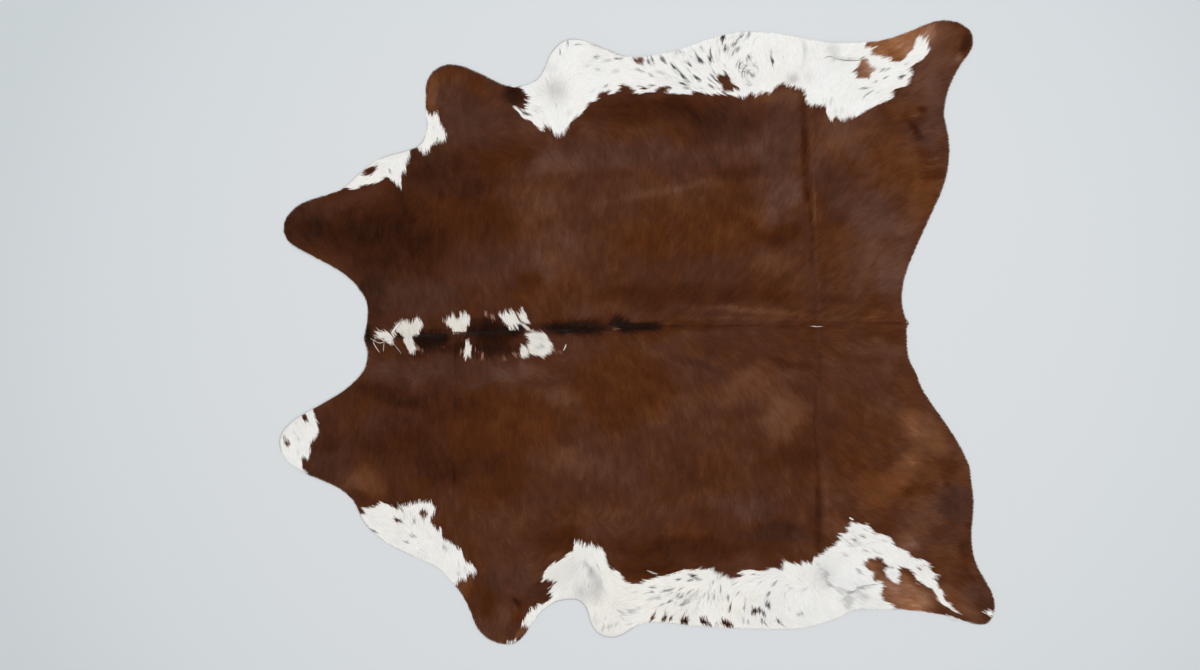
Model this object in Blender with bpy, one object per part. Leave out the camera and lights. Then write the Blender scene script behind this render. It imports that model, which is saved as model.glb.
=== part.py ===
"""Cowhide rug: one whole tanned hide, lying on the floor with its coat up.

Seen from above the neck points to -X and the tail to +X. The animal's right flank spreads to +Y and
its left flank to -Y, each with a foreleg and a hind leg cut off short. The hide is a single sheet,
cut along a free outline, with nothing sewn on. Its solid is the leather together with the short coat
that lies flat on it. The sheet rests on z = 0 and stands off the floor only in the ridges left where
it was folded for storage, and in low swells where it does not quite lie down.

Lengths in the tables are millimetres, and angles are degrees, counted from +X towards +Y.
"""

import math
from collections import namedtuple

import bmesh
import bpy
import numpy as np
from mathutils import Vector
from mathutils.geometry import delaunay_2d_cdt

MM = 0.001

# Driving sizes
LEATHER = 2.0             # thickness of the bare cut edge
COAT = 2.0                # thickness that the lying hair adds over the leather
COAT_SHOULDER = 14.0      # distance inside the cut edge at which the coat has its full thickness
EDGE_STEP = 17.0          # spacing of the points along the cut edge
ROW_STEP = 32.0           # spacing of the points along a fold
SWELL_STEP = 26.0         # spacing of the points on a swell
PLAIN_STEP = 95.0         # spacing of the points where the hide lies flat
POINT_GAP = 16.0          # least distance of a swell or plain point from the points placed before it
ROW_GAP = 7.0             # least distance of a fold's points from the cut edge and its shoulder
FOLD_ROWS = (-1.0, -0.55, -0.22, 0.0, 0.22, 0.55, 1.0)  # rows of points across a fold, in half widths
CREST_STEP = 8.0          # spacing at which a fold's crest is measured
CURVE_STEPS = 24          # steps of a fold's curve between two points of its path
SWELL_MARGIN = 1.1        # reach up to which a swell has its dense points, where its rim is at 1
COAT_COLOUR = (0.085, 0.026, 0.012, 1.0)
COAT_ROUGHNESS = 0.62

# The cut edge, clockwise from the neck. Each row is a landmark, with the heading of the edge where
# it arrives there. At the two points of the backbone line the edge turns sharply and leaves with
# another heading. Between two landmarks the edge bends as a round arc does.
Landmark = namedtuple("Landmark", "name x y arrives leaves")


def smooth(name, x, y, heading):
    """A landmark that the edge passes without a corner."""
    return Landmark(name, x, y, heading, heading)


CUT_EDGE = (
    Landmark("neck point on the backbone line", -874, -19, 108, 76),
    smooth("neck hollow, right", -861, 67, 92),
    smooth("neck hollow, turning out", -918, 170, 138),
    smooth("right cheek, hind side", -1046, 248, 152),
    smooth("right cheek tip", -1131, 330, 90),
    smooth("right cheek, shoulder side", -1078, 411, 30),
    smooth("right neck edge", -950, 459, 29),
    smooth("right neck edge, first white hair", -893, 507, 42),
    smooth("right neck edge, middle", -806, 565, 22),
    smooth("right neck edge, brown break", -733, 586, 22),
    smooth("right neck edge, turning up", -694, 605, 47),
    smooth("right shoulder hollow", -672, 662, 90),
    smooth("right shoulder, leaving the hollow", -677, 733, 90),
    smooth("right shoulder corner", -656, 832, 49),
    smooth("right shoulder top", -592, 859, -3),
    smooth("right shoulder slope", -502, 830, -23),
    smooth("right armpit", -397, 790, 2),
    smooth("right foreleg, front root", -320, 813, 41),
    smooth("right foreleg, front", -282, 883, 64),
    smooth("right foreleg end", -208, 941, 2),
    smooth("right foreleg, hind side", -102, 910, -21),
    smooth("right elbow hollow", -10, 883, 1),
    smooth("right belly, rising", 138, 909, 18),
    smooth("right belly, widest", 355, 964, 1),
    smooth("right belly, falling", 506, 949, -11),
    smooth("right flank hollow", 666, 927, 1),
    smooth("right hind leg root", 810, 942, 16),
    smooth("right hind leg, front", 906, 979, 24),
    smooth("right hind leg end", 989, 1000, -2),
    smooth("right hind leg tip", 1075, 931, -93),
    smooth("right hind leg, rear", 1030, 850, -122),
    smooth("right thigh hollow", 982, 698, -90),
    smooth("right thigh, below the hollow", 992, 650, -80),
    smooth("right rump", 999, 586, -91),
    smooth("right rump, turning in", 970, 445, -114),
    smooth("right tail slope", 890, 269, -114),
    smooth("right tail hollow", 847, 115, -90),
    Landmark("tail root on the backbone line", 869, 32, -52, -131),
    smooth("left tail hollow", 863, -16, -90),
    smooth("left tail slope, start", 880, -106, -62),
    smooth("left tail slope, small jog", 896, -138, -79),
    smooth("left tail slope", 934, -214, -56),
    smooth("left rump, turning out", 1021, -342, -59),
    smooth("left rump", 1066, -448, -83),
    smooth("left rump, widest", 1076, -547, -90),
    smooth("left thigh hollow", 1070, -646, -90),
    smooth("left hind leg, rear", 1094, -758, -61),
    smooth("left hind leg tip", 1144, -874, -90),
    smooth("left hind leg end", 1104, -933, 180),
    smooth("left hind leg, front", 1002, -906, 167),
    smooth("left hind leg root", 810, -883, 180),
    smooth("left flank pocket", 720, -882, 181),
    smooth("left flank pocket, leaving", 666, -899, 213),
    smooth("left belly, rising", 586, -931, 197),
    smooth("left belly, widest", 483, -947, 180),
    smooth("left belly, middle", 298, -944, 178),
    smooth("left belly, falling", 138, -932, 173),
    smooth("left elbow, start", 35, -925, 184),
    smooth("left elbow, turning out", -13, -944, 217),
    smooth("left elbow tip", -83, -974, 180),
    smooth("left elbow, turning in", -144, -936, 117),
    smooth("left foreleg hollow, hind side", -166, -874, 121),
    smooth("left foreleg hollow", -202, -852, 180),
    smooth("left foreleg hollow, front side", -278, -869, 211),
    smooth("left foreleg, hind side", -346, -944, 238),
    smooth("left foreleg end", -413, -996, 176),
    smooth("left foreleg, front", -504, -952, 125),
    smooth("left armpit", -550, -851, 120),
    smooth("left shoulder corner", -611, -773, 130),
    smooth("left shoulder", -694, -722, 159),
    smooth("left shoulder slope", -813, -662, 145),
    smooth("left neck edge, turning up", -883, -590, 118),
    smooth("left neck edge", -925, -517, 138),
    smooth("left cheek, shoulder side", -1021, -466, 158),
    smooth("left cheek, turning", -1098, -426, 141),
    smooth("left cheek tip", -1144, -349, 90),
    smooth("left cheek, hind side", -1107, -285, 41),
    smooth("neck hollow, turning in", -1008, -224, 30),
    smooth("neck hollow, deep side", -918, -165, 42),
    smooth("neck hollow, left", -862, -80, 83),
)

# Ridges left by folding. Each runs along its path, highest at its crest and level with the floor at
# its half width, and dies out over its fade at both ends.
Fold = namedtuple("Fold", "name rise half_width fade path")

FOLDS = (
    Fold("backbone", 5.5, 42.0, 60.0, ((-882, -20), (-500, 5), (-118, 12), (202, 22), (560, 24), (884, 32))),
    Fold("cross fold", 4.5, 32.0, 90.0, ((534, 760), (550, 420), (578, 22), (586, -180), (590, -700))),
    Fold("thigh crease", 5.0, 28.0, 40.0, ((866, 720), (900, 660), (938, 590))),
    Fold("flank pocket crease", 7.0, 32.0, 40.0, ((640, -858), (710, -822), (790, -795))),
    Fold("elbow valley, front lip", 5.0, 34.0, 50.0, ((-168, -720), (-176, -800), (-160, -880))),
)

# Low swells: a long round heap each, with its own length, width and turn.
Swell = namedtuple("Swell", "name x y length width turn rise")

SWELLS = (
    Swell("right cheek", -1035, 330, 210, 130, 35, 4.0),
    Swell("right shoulder lobe", -590, 780, 220, 150, -15, 4.0),
    Swell("right foreleg", -235, 850, 240, 120, 62, 6.5),
    Swell("right belly, front wave", 20, 850, 240, 130, 5, 4.0),
    Swell("right belly, edge roll", 640, 905, 320, 90, 2, 6.0),
    Swell("right belly, fold end", 480, 860, 210, 100, 80, 5.0),
    Swell("right hind leg", 1000, 895, 250, 130, 48, 5.0),
    Swell("right rump wrinkle, upper", 945, 548, 120, 52, 0, 3.5),
    Swell("right rump wrinkle, lower", 930, 505, 110, 48, -5, 3.5),
    Swell("left rump swirl, upper", 905, -520, 210, 84, -32, 6.5),
    Swell("left rump swirl, lower", 985, -610, 180, 100, -65, 5.0),
    Swell("left rump edge roll", 1030, -545, 240, 100, 88, 5.5),
    Swell("left hind leg", 1055, -830, 240, 120, -52, 5.0),
    Swell("left flank pocket rim", 730, -850, 200, 90, 8, 8.0),
    Swell("left belly, rear wave", 470, -880, 250, 140, 10, 4.5),
    Swell("left belly, front wave", 190, -880, 270, 120, -4, 4.0),
    Swell("left elbow", -80, -890, 210, 120, 70, 7.0),
    Swell("left foreleg", -425, -900, 240, 130, 62, 5.5),
    Swell("left shoulder", -720, -645, 230, 120, -32, 4.0),
    Swell("left cheek", -1070, -360, 190, 120, -40, 4.0),
)


def edge_stretch(start, end):
    """Points along one stretch of the cut edge, without its last: a cubic Bezier curve whose handles
    lie along the two headings and have the length they would have on a circular arc."""
    first = np.array((start.x, start.y), float)
    last = np.array((end.x, end.y), float)
    chord = np.linalg.norm(last - first)
    out_angle = math.radians(start.leaves)
    in_angle = math.radians(end.arrives)
    turn = math.remainder(in_angle - out_angle, math.tau)
    handle = chord / (3.0 * math.cos(turn / 4.0) ** 2)
    near = first + handle * np.array((math.cos(out_angle), math.sin(out_angle)))
    far = last - handle * np.array((math.cos(in_angle), math.sin(in_angle)))
    steps = max(2, round(chord / EDGE_STEP))
    t = np.linspace(0.0, 1.0, steps, endpoint=False)[:, None]
    s = 1.0 - t
    return s**3 * first + 3 * s**2 * t * near + 3 * s * t**2 * far + t**3 * last


def cut_edge():
    """The closed outline, counterclockwise, as one array of points."""
    following = CUT_EDGE[1:] + CUT_EDGE[:1]
    stretches = [edge_stretch(start, end) for start, end in zip(CUT_EDGE, following)]
    return np.concatenate(stretches)[::-1]


def fold_line(path, step):
    """Points along a fold at an even step, on a smooth curve through the path's points, with the
    unit direction of the fold at each."""
    knots = np.array(path, float)
    before = 2 * knots[0] - knots[1]
    after = 2 * knots[-1] - knots[-2]
    knots = np.vstack((before, knots, after))
    t = np.linspace(0.0, 1.0, CURVE_STEPS, endpoint=False)[:, None]
    pieces = []
    for a, b, c, d in zip(knots, knots[1:], knots[2:], knots[3:]):
        bend = 2 * a - 5 * b + 4 * c - d
        twist = 3 * b - a - 3 * c + d
        pieces.append(0.5 * (2 * b + (c - a) * t + bend * t**2 + twist * t**3))
    fine = np.concatenate(pieces + [knots[-2:-1]])
    along = np.concatenate(([0.0], np.cumsum(np.linalg.norm(np.diff(fine, axis=0), axis=1))))
    stations = np.linspace(0.0, along[-1], max(2, round(along[-1] / step) + 1))
    points = np.column_stack([np.interp(stations, along, fine[:, axis]) for axis in (0, 1)])
    heading = np.gradient(points, axis=0)
    heading /= np.linalg.norm(heading, axis=1)[:, None]
    return points, heading


def ridge_height(fold, points):
    """Height of a fold's ridge over each point: it falls from the crest as the square of what is left
    of the half width, so the crest is a crease and the foot runs out level."""
    line, _ = fold_line(fold.path, CREST_STEP)
    gap = np.linalg.norm(points[:, None] - line[None], axis=2)
    nearest = gap.argmin(axis=1)
    across = np.clip(1.0 - gap.min(axis=1) / fold.half_width, 0.0, 1.0)
    to_nearer_end = CREST_STEP * np.minimum(nearest, len(line) - 1 - nearest)
    fade = np.clip(to_nearer_end / fold.fade, 0.0, 1.0)
    return fold.rise * across**2 * fade * (2.0 - fade)


def swell_reach(swell, points):
    """Distance of each point from a swell's middle, counted so that its rim is at 1."""
    turn = math.radians(swell.turn)
    x = points[:, 0] - swell.x
    y = points[:, 1] - swell.y
    along = x * math.cos(turn) + y * math.sin(turn)
    across = y * math.cos(turn) - x * math.sin(turn)
    return np.hypot(along / (0.5 * swell.length), across / (0.5 * swell.width))


def lift(points):
    """How far the underside stands off the floor: the highest of the ridges and swells there."""
    heights = [ridge_height(fold, points) for fold in FOLDS]
    for swell in SWELLS:
        reach = np.clip(swell_reach(swell, points), 0.0, 1.0)
        heights.append(swell.rise * (1.0 - reach**2) ** 2)
    return np.max(heights, axis=0)


def inside(points, outline):
    """Whether each point lies inside the outline, counted by crossings of a ray along +X."""
    x, y = points[:, 0, None], points[:, 1, None]
    ax, ay = outline.T
    bx, by = np.roll(outline, -1, axis=0).T
    spans = (ay > y) != (by > y)
    rise = np.where(by == ay, 1.0, by - ay)
    crossing = ax + (y - ay) * (bx - ax) / rise
    return (spans & (x < crossing)).sum(axis=1) % 2 == 1


def clear_of(points, others, gap):
    """The points that keep at least the gap to all the others."""
    nearest = np.linalg.norm(points[:, None] - others[None], axis=2).min(axis=1)
    return points[nearest >= gap]


def shoulder_ring(outline):
    """Every second point of the cut edge, moved in by the width of the coat's shoulder."""
    heading = np.roll(outline, -1, axis=0) - np.roll(outline, 1, axis=0)
    heading /= np.linalg.norm(heading, axis=1)[:, None]
    inward = np.column_stack((-heading[:, 1], heading[:, 0]))
    ring = (outline + COAT_SHOULDER * inward)[::2]
    ring = ring[inside(ring, outline)]
    return clear_of(ring, outline, 0.9 * COAT_SHOULDER)


def fold_rows():
    """Rows of points on each fold's crest and down both of its sides."""
    rows = []
    for fold in FOLDS:
        line, heading = fold_line(fold.path, ROW_STEP)
        side = np.column_stack((-heading[:, 1], heading[:, 0]))
        for share in FOLD_ROWS:
            rows.append(line + share * fold.half_width * side)
    return np.concatenate(rows)


def staggered_grid(outline, step):
    """A grid of points over the hide's box, with every second row shifted by half a step."""
    low = outline.min(axis=0)
    high = outline.max(axis=0)
    row_step = step * math.sqrt(0.75)
    columns = np.arange(low[0], high[0], step)
    rows = np.arange(low[1], high[1], row_step)
    x, y = np.meshgrid(columns, rows)
    x = x + 0.5 * step * (np.arange(len(rows)) % 2)[:, None]
    return np.column_stack((x.ravel(), y.ravel()))


def surface_points(outline):
    """The points inside the cut edge: dense on folds and swells, sparse where the hide is flat."""
    placed = shoulder_ring(outline)
    rows = fold_rows()
    rows = rows[inside(rows, outline)]
    rows = clear_of(rows, np.vstack((outline, placed)), ROW_GAP)
    placed = np.vstack((placed, rows))
    for step, on_swells in ((SWELL_STEP, True), (PLAIN_STEP, False)):
        grid = staggered_grid(outline, step)
        grid = grid[inside(grid, outline)]
        reach = np.min([swell_reach(swell, grid) for swell in SWELLS], axis=0)
        grid = grid[(reach < SWELL_MARGIN) == on_swells]
        grid = clear_of(grid, np.vstack((outline, placed)), POINT_GAP)
        placed = np.vstack((placed, grid))
    return placed


def hide_mesh():
    """The hide as one closed sheet: the same triangles under the leather and over the coat, joined by
    the upright cut edge."""
    outline = cut_edge()
    flat = np.vstack((outline, surface_points(outline)))
    rim = len(outline)
    rim_edges = [(i, (i + 1) % rim) for i in range(rim)]
    corners = [Vector(point) for point in flat]
    corners, _, triangles, origins, _, _ = delaunay_2d_cdt(corners, rim_edges, [], 1, 1e-4)

    plan = np.array([tuple(corner) for corner in corners])
    on_rim = np.array([min(origin) < rim for origin in origins])
    under = lift(plan)
    over = under + LEATHER + np.where(on_rim, 0.0, COAT)

    bm = bmesh.new()
    low = [bm.verts.new((x * MM, y * MM, z * MM)) for (x, y), z in zip(plan, under)]
    high = [bm.verts.new((x * MM, y * MM, z * MM)) for (x, y), z in zip(plan, over)]
    sides = set()
    for triangle in triangles:
        bm.faces.new([high[i] for i in triangle])
        bm.faces.new([low[i] for i in reversed(triangle)])
        sides.update(zip(triangle, triangle[1:] + triangle[:1]))
    for a, b in sides:
        if (b, a) not in sides:
            bm.faces.new((low[a], low[b], high[b], high[a]))
    bmesh.ops.triangulate(bm, faces=[face for face in bm.faces if len(face.verts) > 3])
    mesh = bpy.data.meshes.new("cowhide")
    bm.to_mesh(mesh)
    bm.free()
    return mesh


def coat_material():
    """Brown hair-on leather, as one plain finish."""
    material = bpy.data.materials.new("brown_coat")
    material.use_nodes = True
    shader = material.node_tree.nodes["Principled BSDF"]
    shader.inputs["Base Color"].default_value = COAT_COLOUR
    shader.inputs["Roughness"].default_value = COAT_ROUGHNESS
    shader.inputs["Metallic"].default_value = 0.0
    return material


def main():
    for leftover in list(bpy.data.objects):
        bpy.data.objects.remove(leftover, do_unlink=True)
    mesh = hide_mesh()
    mesh.materials.append(coat_material())
    mesh.shade_smooth()
    mesh.set_sharp_from_angle(angle=math.radians(40.0))
    hide = bpy.data.objects.new("cowhide", mesh)
    bpy.context.scene.collection.objects.link(hide)


main()
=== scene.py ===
# Looks of the cowhide rug: the hide as one fine closed sheet of leather, and its coat as lying hairs.
# The neck points to -X and the tail to +X. Lengths in the tables are millimetres, and angles are
# degrees, counted from +X towards +Y. The right flank spreads to +Y and the left flank to -Y.
import math
from collections import namedtuple

import bpy
import numpy as np
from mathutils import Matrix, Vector
from mathutils.geometry import delaunay_2d_cdt


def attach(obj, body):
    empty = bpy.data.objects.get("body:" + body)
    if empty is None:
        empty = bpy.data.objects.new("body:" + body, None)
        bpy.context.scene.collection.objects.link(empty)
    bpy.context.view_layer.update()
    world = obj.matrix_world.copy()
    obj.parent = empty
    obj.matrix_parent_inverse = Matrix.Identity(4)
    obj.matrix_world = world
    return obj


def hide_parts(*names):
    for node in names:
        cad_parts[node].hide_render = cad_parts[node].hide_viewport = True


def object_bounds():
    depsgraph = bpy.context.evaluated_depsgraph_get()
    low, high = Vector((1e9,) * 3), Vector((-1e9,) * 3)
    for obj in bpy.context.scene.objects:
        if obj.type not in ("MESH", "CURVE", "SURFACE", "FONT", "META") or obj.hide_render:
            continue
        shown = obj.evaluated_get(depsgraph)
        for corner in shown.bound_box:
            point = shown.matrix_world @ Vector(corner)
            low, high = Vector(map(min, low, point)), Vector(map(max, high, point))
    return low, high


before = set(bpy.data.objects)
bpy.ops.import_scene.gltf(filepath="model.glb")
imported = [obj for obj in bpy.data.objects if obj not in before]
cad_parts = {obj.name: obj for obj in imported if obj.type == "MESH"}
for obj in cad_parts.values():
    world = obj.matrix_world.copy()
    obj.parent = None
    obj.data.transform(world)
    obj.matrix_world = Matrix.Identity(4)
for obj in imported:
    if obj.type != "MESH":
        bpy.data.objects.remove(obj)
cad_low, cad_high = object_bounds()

MM = 0.001
SEED = 20

# The leather
LEATHER = 2.0  # thickness of the bare cut edge
UNDERCOAT = 1.4  # thickness of the felted hair roots over the leather
COAT_SHOULDER = 14.0  # distance inside the cut edge at which the undercoat is full
EDGE_BULGE = 0.4  # how far the middle of the cut edge stands out
RIM_STEP = 6.0  # spacing of the points along the cut edge
RIM_RINGS = (3.0, 8.0, 14.0)  # rings of points inside the cut edge
TOP_STEP = 9.6  # spacing of the points inside the rings, on the top
UNDER_STEP = 14.0  # the same on the underside
CREST_STEP = 8.0  # spacing at which a fold's crest is measured
CURVE_STEPS = 24  # steps of a fold's curve between two points of its path

# The coat
COAT_PIECES = ("coat_neck", "coat_shoulder", "coat_back", "coat_loin", "coat_rump")
HAIR_PITCH = 4.02  # spacing of the hair locks' roots
HAIR_JITTER = 0.46  # how far a root strays from its place, in pitches
HAIR_LENGTH = 22.0
WHITE_LENGTH = 1.15  # how much longer the white hair is
HAIR_STUB = 3.0  # least length of a lock that is cut off at the edge
HAIR_WIDTH = 3.3  # width of a lock at its root
HAIR_SINK = 0.4  # how deep a root sits in the undercoat
HAIR_RIDGE = 0.5  # height of a lock's ridge at its root
HAIR_RAISE = 1.2  # how far a tip stands over the undercoat
BARE_RIM = 1.4  # strip of bare leather along the cut edge
TIP_RIM = -1.6  # how near the cut edge a lock's tip may come, below zero past it
SEAT_SHARE = 0.55  # where along a lock its colour is taken
RAGGED = 4.6  # how far a colour's border runs out along the hair
ROAN_STRETCH = 14.0  # length of a streak of dark hair in the white
LOCK = 7.0  # width of a bundle of locks that share their colour and lie
LIE_BLUR = 60.0  # reach over which the table of how the hair lies is blurred
CLOSE_BLUR = 30.0  # the same for its close rows
PARTING = 16.0  # reach beside the backbone over which the hair turns towards the tail
TAIL_PULL = 0.6  # how strongly it turns there
WHORL_PULL = 1.6  # how strongly the hair turns round the whorl
WISP_OVER = 0.4  # how far a wisp lies over the tips of the coat
WISP_RIDGE = 0.9  # how far its ridge stands over its sides

# Chance in the coat: how far each value of a lock strays to both sides
SWING_STRAY = 6.0  # its heading, in degrees
LENGTH_STRAY = 0.22  # its length, as a share of it
RAGGED_STRAY = 0.3  # its seat along the hair, as a share of RAGGED
SEAT_STRAY = 2.0  # its seat across the hair
WIDTH_STRAY = 0.25  # its width, as a share of it
ROLL_STRAY = 0.25  # the slope of its root from side to side
WHITE_ROLL = 0.6  # how much of that slope white hair has
RAISE_STRAY = 0.4  # the height of its tip, as a share of it
LEAST_RAISE = 0.3  # least share of that height, which a short lock has
TONE_STRAY = 0.03
WHITE_TONE_STRAY = 0.014
WARMTH_STRAY = 0.06
LEAST_RUN = 1e-3  # least change of distance over a lock that is cut off at the edge

# A lock's corners are beside its root on the left and right, on its ridge and at its tip. Their
# places on the export's map differ from the lock's own by a little tone and a little warmth.
LOCK_FACES = ((0, 2, 3), (1, 3, 2), (0, 3, 1), (0, 1, 2))
LOCK_CORNERS = 4
LOCK_TONES = (-0.02, -0.02, -0.03, 0.03)
LOCK_WARMTHS = (-0.02, 0.02, 0.0, 0.0)
WISP_DOT = 0.01  # half the width of a wisp's triangle on the same map

# The grids on which the distance to the cut edge and the lift are kept
GAP_STEP = 5.0
GAP_FAR = 45.0  # distance up to which the cut edge is measured finely
GAP_MARGIN = 6  # cells past the hide
GAP_PARTS = 40  # parts in which that grid is worked out
SPARSE = 4  # every so many points of the cut edge are tried first
NEAR_POINTS = 9  # points to both sides of the nearest that are then measured finely
LIFT_STEP = 3.0
LIFT_MARGIN = 4  # the same for the lift
LAST_CELL = 1.001  # taken from a grid's count, so that it is read inside its last cell
TROUGH_FLOOR = -0.9  # how far a wrinkle may press the top down where the hide lies flat

# The nets of triangles
UPRIGHT = 0.2  # a face of the solid is upright if its normal's Z is below this
MATCHES = 50  # steps in a millimetre to which two corners agree if they are one
RIM_CURVE_STEPS = 6  # steps of the cut edge's curve between two of the solid's corners
RING_KEEP = 0.9  # share of its inset that a ring's point must keep from the cut edge
ROW_STEP = math.sqrt(0.75)  # spacing of the rows in a net of even triangles
NET_TOLERANCE = 1e-4
THINNEST = 0.6  # least thickness of the hide, as a share of the leather's
SHARP_ANGLE = 50.0  # angle from which two faces meet in a sharp edge
TOP_KIND, UNDER_KIND, RIM_KIND = 0, 1, 2  # the hide's materials: undercoat, suede, cut edge

# Where the hide's top, its underside and its cut edge lie on the export's map
CAD_CORNER = np.array(cad_low[:2])  # the solid's corner at the neck and the left flank, in metres
SheetMap = namedtuple("SheetMap", "scale place")
StripMap = namedtuple("StripMap", "place width height")
TOP_MAP = SheetMap(0.36, (0.01, 0.005))
UNDER_MAP = SheetMap(0.13, (0.01, 0.735))
EDGE_MAP = StripMap((0.35, 0.80), 0.63, 0.04)

# Ridges left by folding. Each runs along its path, highest at its crest and level with the floor at
# its half width, and dies out over its fade at both ends.
Fold = namedtuple("Fold", "rise half_width fade path")

FOLDS = {
    "backbone": Fold(5.5, 42.0, 60.0, ((-882, -20), (-500, 5), (-118, 12), (202, 22), (560, 24), (884, 32))),
    "cross fold": Fold(4.5, 32.0, 90.0, ((534, 760), (550, 420), (578, 22), (586, -180), (590, -700))),
    "thigh crease": Fold(5.0, 28.0, 40.0, ((866, 720), (900, 660), (938, 590))),
    "flank pocket crease": Fold(7.0, 32.0, 40.0, ((640, -858), (710, -822), (790, -795))),
    "elbow valley, front lip": Fold(5.0, 34.0, 50.0, ((-168, -720), (-176, -800), (-160, -880))),
}

# Fine wrinkles, ridges or troughs, that lie on the folds and swells.
WRINKLES = {
    "backbone, crease beside it": Fold(-1.6, 9.0, 60.0, (
        (-850, -8), (-500, 14), (-118, 22), (202, 32), (850, 40),
    )),
    "cross fold, right, shadow side": Fold(-1.4, 11.0, 40.0, ((536, 740), (548, 520), (560, 260), (576, 40))),
    "cross fold, left, shadow side": Fold(-1.6, 11.0, 40.0, (
        (584, -40), (586, -300), (588, -560), (590, -700),
    )),
    "old fold by the shoulder": Fold(-0.7, 8.0, 60.0, ((-576, 170), (-580, -60), (-584, -300), (-586, -540))),
    "rump wrinkle, upper": Fold(-1.4, 9.0, 20.0, ((868, 722), (905, 668), (934, 600))),
    "rump wrinkle, middle": Fold(-1.2, 7.0, 15.0, ((900, 562), (940, 556), (985, 560))),
    "rump wrinkle, lower": Fold(-1.8, 8.0, 15.0, ((895, 520), (940, 524), (985, 536))),
    "flank pocket, fold line": Fold(-4.0, 13.0, 30.0, ((655, -832), (700, -826), (745, -806), (785, -797))),
    "flank pocket, lower fold": Fold(-2.6, 12.0, 20.0, ((700, -870), (716, -850), (742, -838))),
    "elbow valley": Fold(-4.0, 26.0, 40.0, ((-150, -700), (-130, -790), (-140, -880))),
    "right flank line": Fold(-1.6, 8.0, 20.0, ((605, 885), (650, 878), (700, 876))),
    "left shoulder arc": Fold(-1.6, 7.0, 15.0, ((-672, -682), (-685, -705), (-700, -716))),
    "swirl, upper": Fold(-2.2, 12.0, 20.0, ((820, -560), (880, -500), (945, -480), (990, -500))),
    "swirl, lower": Fold(-2.0, 12.0, 20.0, ((905, -620), (950, -600), (985, -560))),
    "rump edge line": Fold(-1.6, 10.0, 30.0, ((1010, -470), (1022, -560), (1025, -650))),
    "foreleg crease": Fold(-1.6, 12.0, 20.0, ((-500, -830), (-440, -850), (-390, -830))),
    "shoulder lobe crease": Fold(-1.4, 12.0, 20.0, ((-640, 700), (-600, 740), (-590, 800))),
}

# Low swells: a long round heap each, with its own length, width and turn.
Swell = namedtuple("Swell", "x y length width turn rise")

SWELLS = {
    "right cheek": Swell(-1035, 330, 210, 130, 35, 4.0),
    "right shoulder lobe": Swell(-590, 780, 220, 150, -15, 4.0),
    "right foreleg": Swell(-235, 850, 240, 120, 62, 6.5),
    "right belly, front wave": Swell(20, 850, 240, 130, 5, 4.0),
    "right belly, edge roll": Swell(640, 905, 320, 90, 2, 6.0),
    "right belly, fold end": Swell(480, 860, 210, 100, 80, 5.0),
    "right hind leg": Swell(1000, 895, 250, 130, 48, 5.0),
    "right rump wrinkle, upper": Swell(945, 548, 120, 52, 0, 3.5),
    "right rump wrinkle, lower": Swell(930, 505, 110, 48, -5, 3.5),
    "left rump swirl, upper": Swell(905, -520, 210, 84, -32, 6.5),
    "left rump swirl, lower": Swell(985, -610, 180, 100, -65, 5.0),
    "left rump edge roll": Swell(1030, -545, 240, 100, 88, 5.5),
    "left hind leg": Swell(1055, -830, 240, 120, -52, 5.0),
    "left flank pocket rim": Swell(730, -850, 200, 90, 8, 8.0),
    "left belly, rear wave": Swell(470, -880, 250, 140, 10, 4.5),
    "left belly, front wave": Swell(190, -880, 270, 120, -4, 4.0),
    "left elbow": Swell(-80, -890, 210, 120, 70, 7.0),
    "left foreleg": Swell(-425, -900, 240, 130, 62, 5.5),
    "left shoulder": Swell(-720, -645, 230, 120, -32, 4.0),
    "left cheek": Swell(-1070, -360, 190, 120, -40, 4.0),
}

# How the hair lies: its heading at places on the right flank, given by their distance along the hide
# and out from the backbone. The left flank mirrors it.
Lie = namedtuple("Lie", "along out heading")

HAIR_LIE = tuple(Lie(*row) for row in (
    (-860, 25, 80), (-700, 25, 92), (-500, 25, 84), (-350, 25, 88), (-150, 25, 66), (100, 25, 48),
    (350, 25, 36), (600, 25, 26), (850, 25, 8), (-850, 200, 100), (-650, 220, 92), (-400, 240, 86),
    (-150, 250, 82), (150, 250, 74), (450, 250, 64), (700, 250, 48), (880, 240, 28), (-1050, 300, 128),
    (-980, 380, 118), (-800, 480, 104), (-640, 500, 90), (-350, 480, 84), (-50, 500, 84), (250, 500, 84),
    (520, 480, 68), (760, 480, 40), (930, 500, 14), (-640, 640, 96), (-600, 780, 98), (-430, 700, 70),
    (-140, 700, 92), (90, 680, 104), (240, 680, 106), (400, 690, 82), (600, 700, 44), (760, 700, 24),
    (930, 760, 12), (940, 900, 40), (1050, 900, 22), (1050, 540, 4), (-420, 900, 96), (-430, 820, 80),
))
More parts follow.
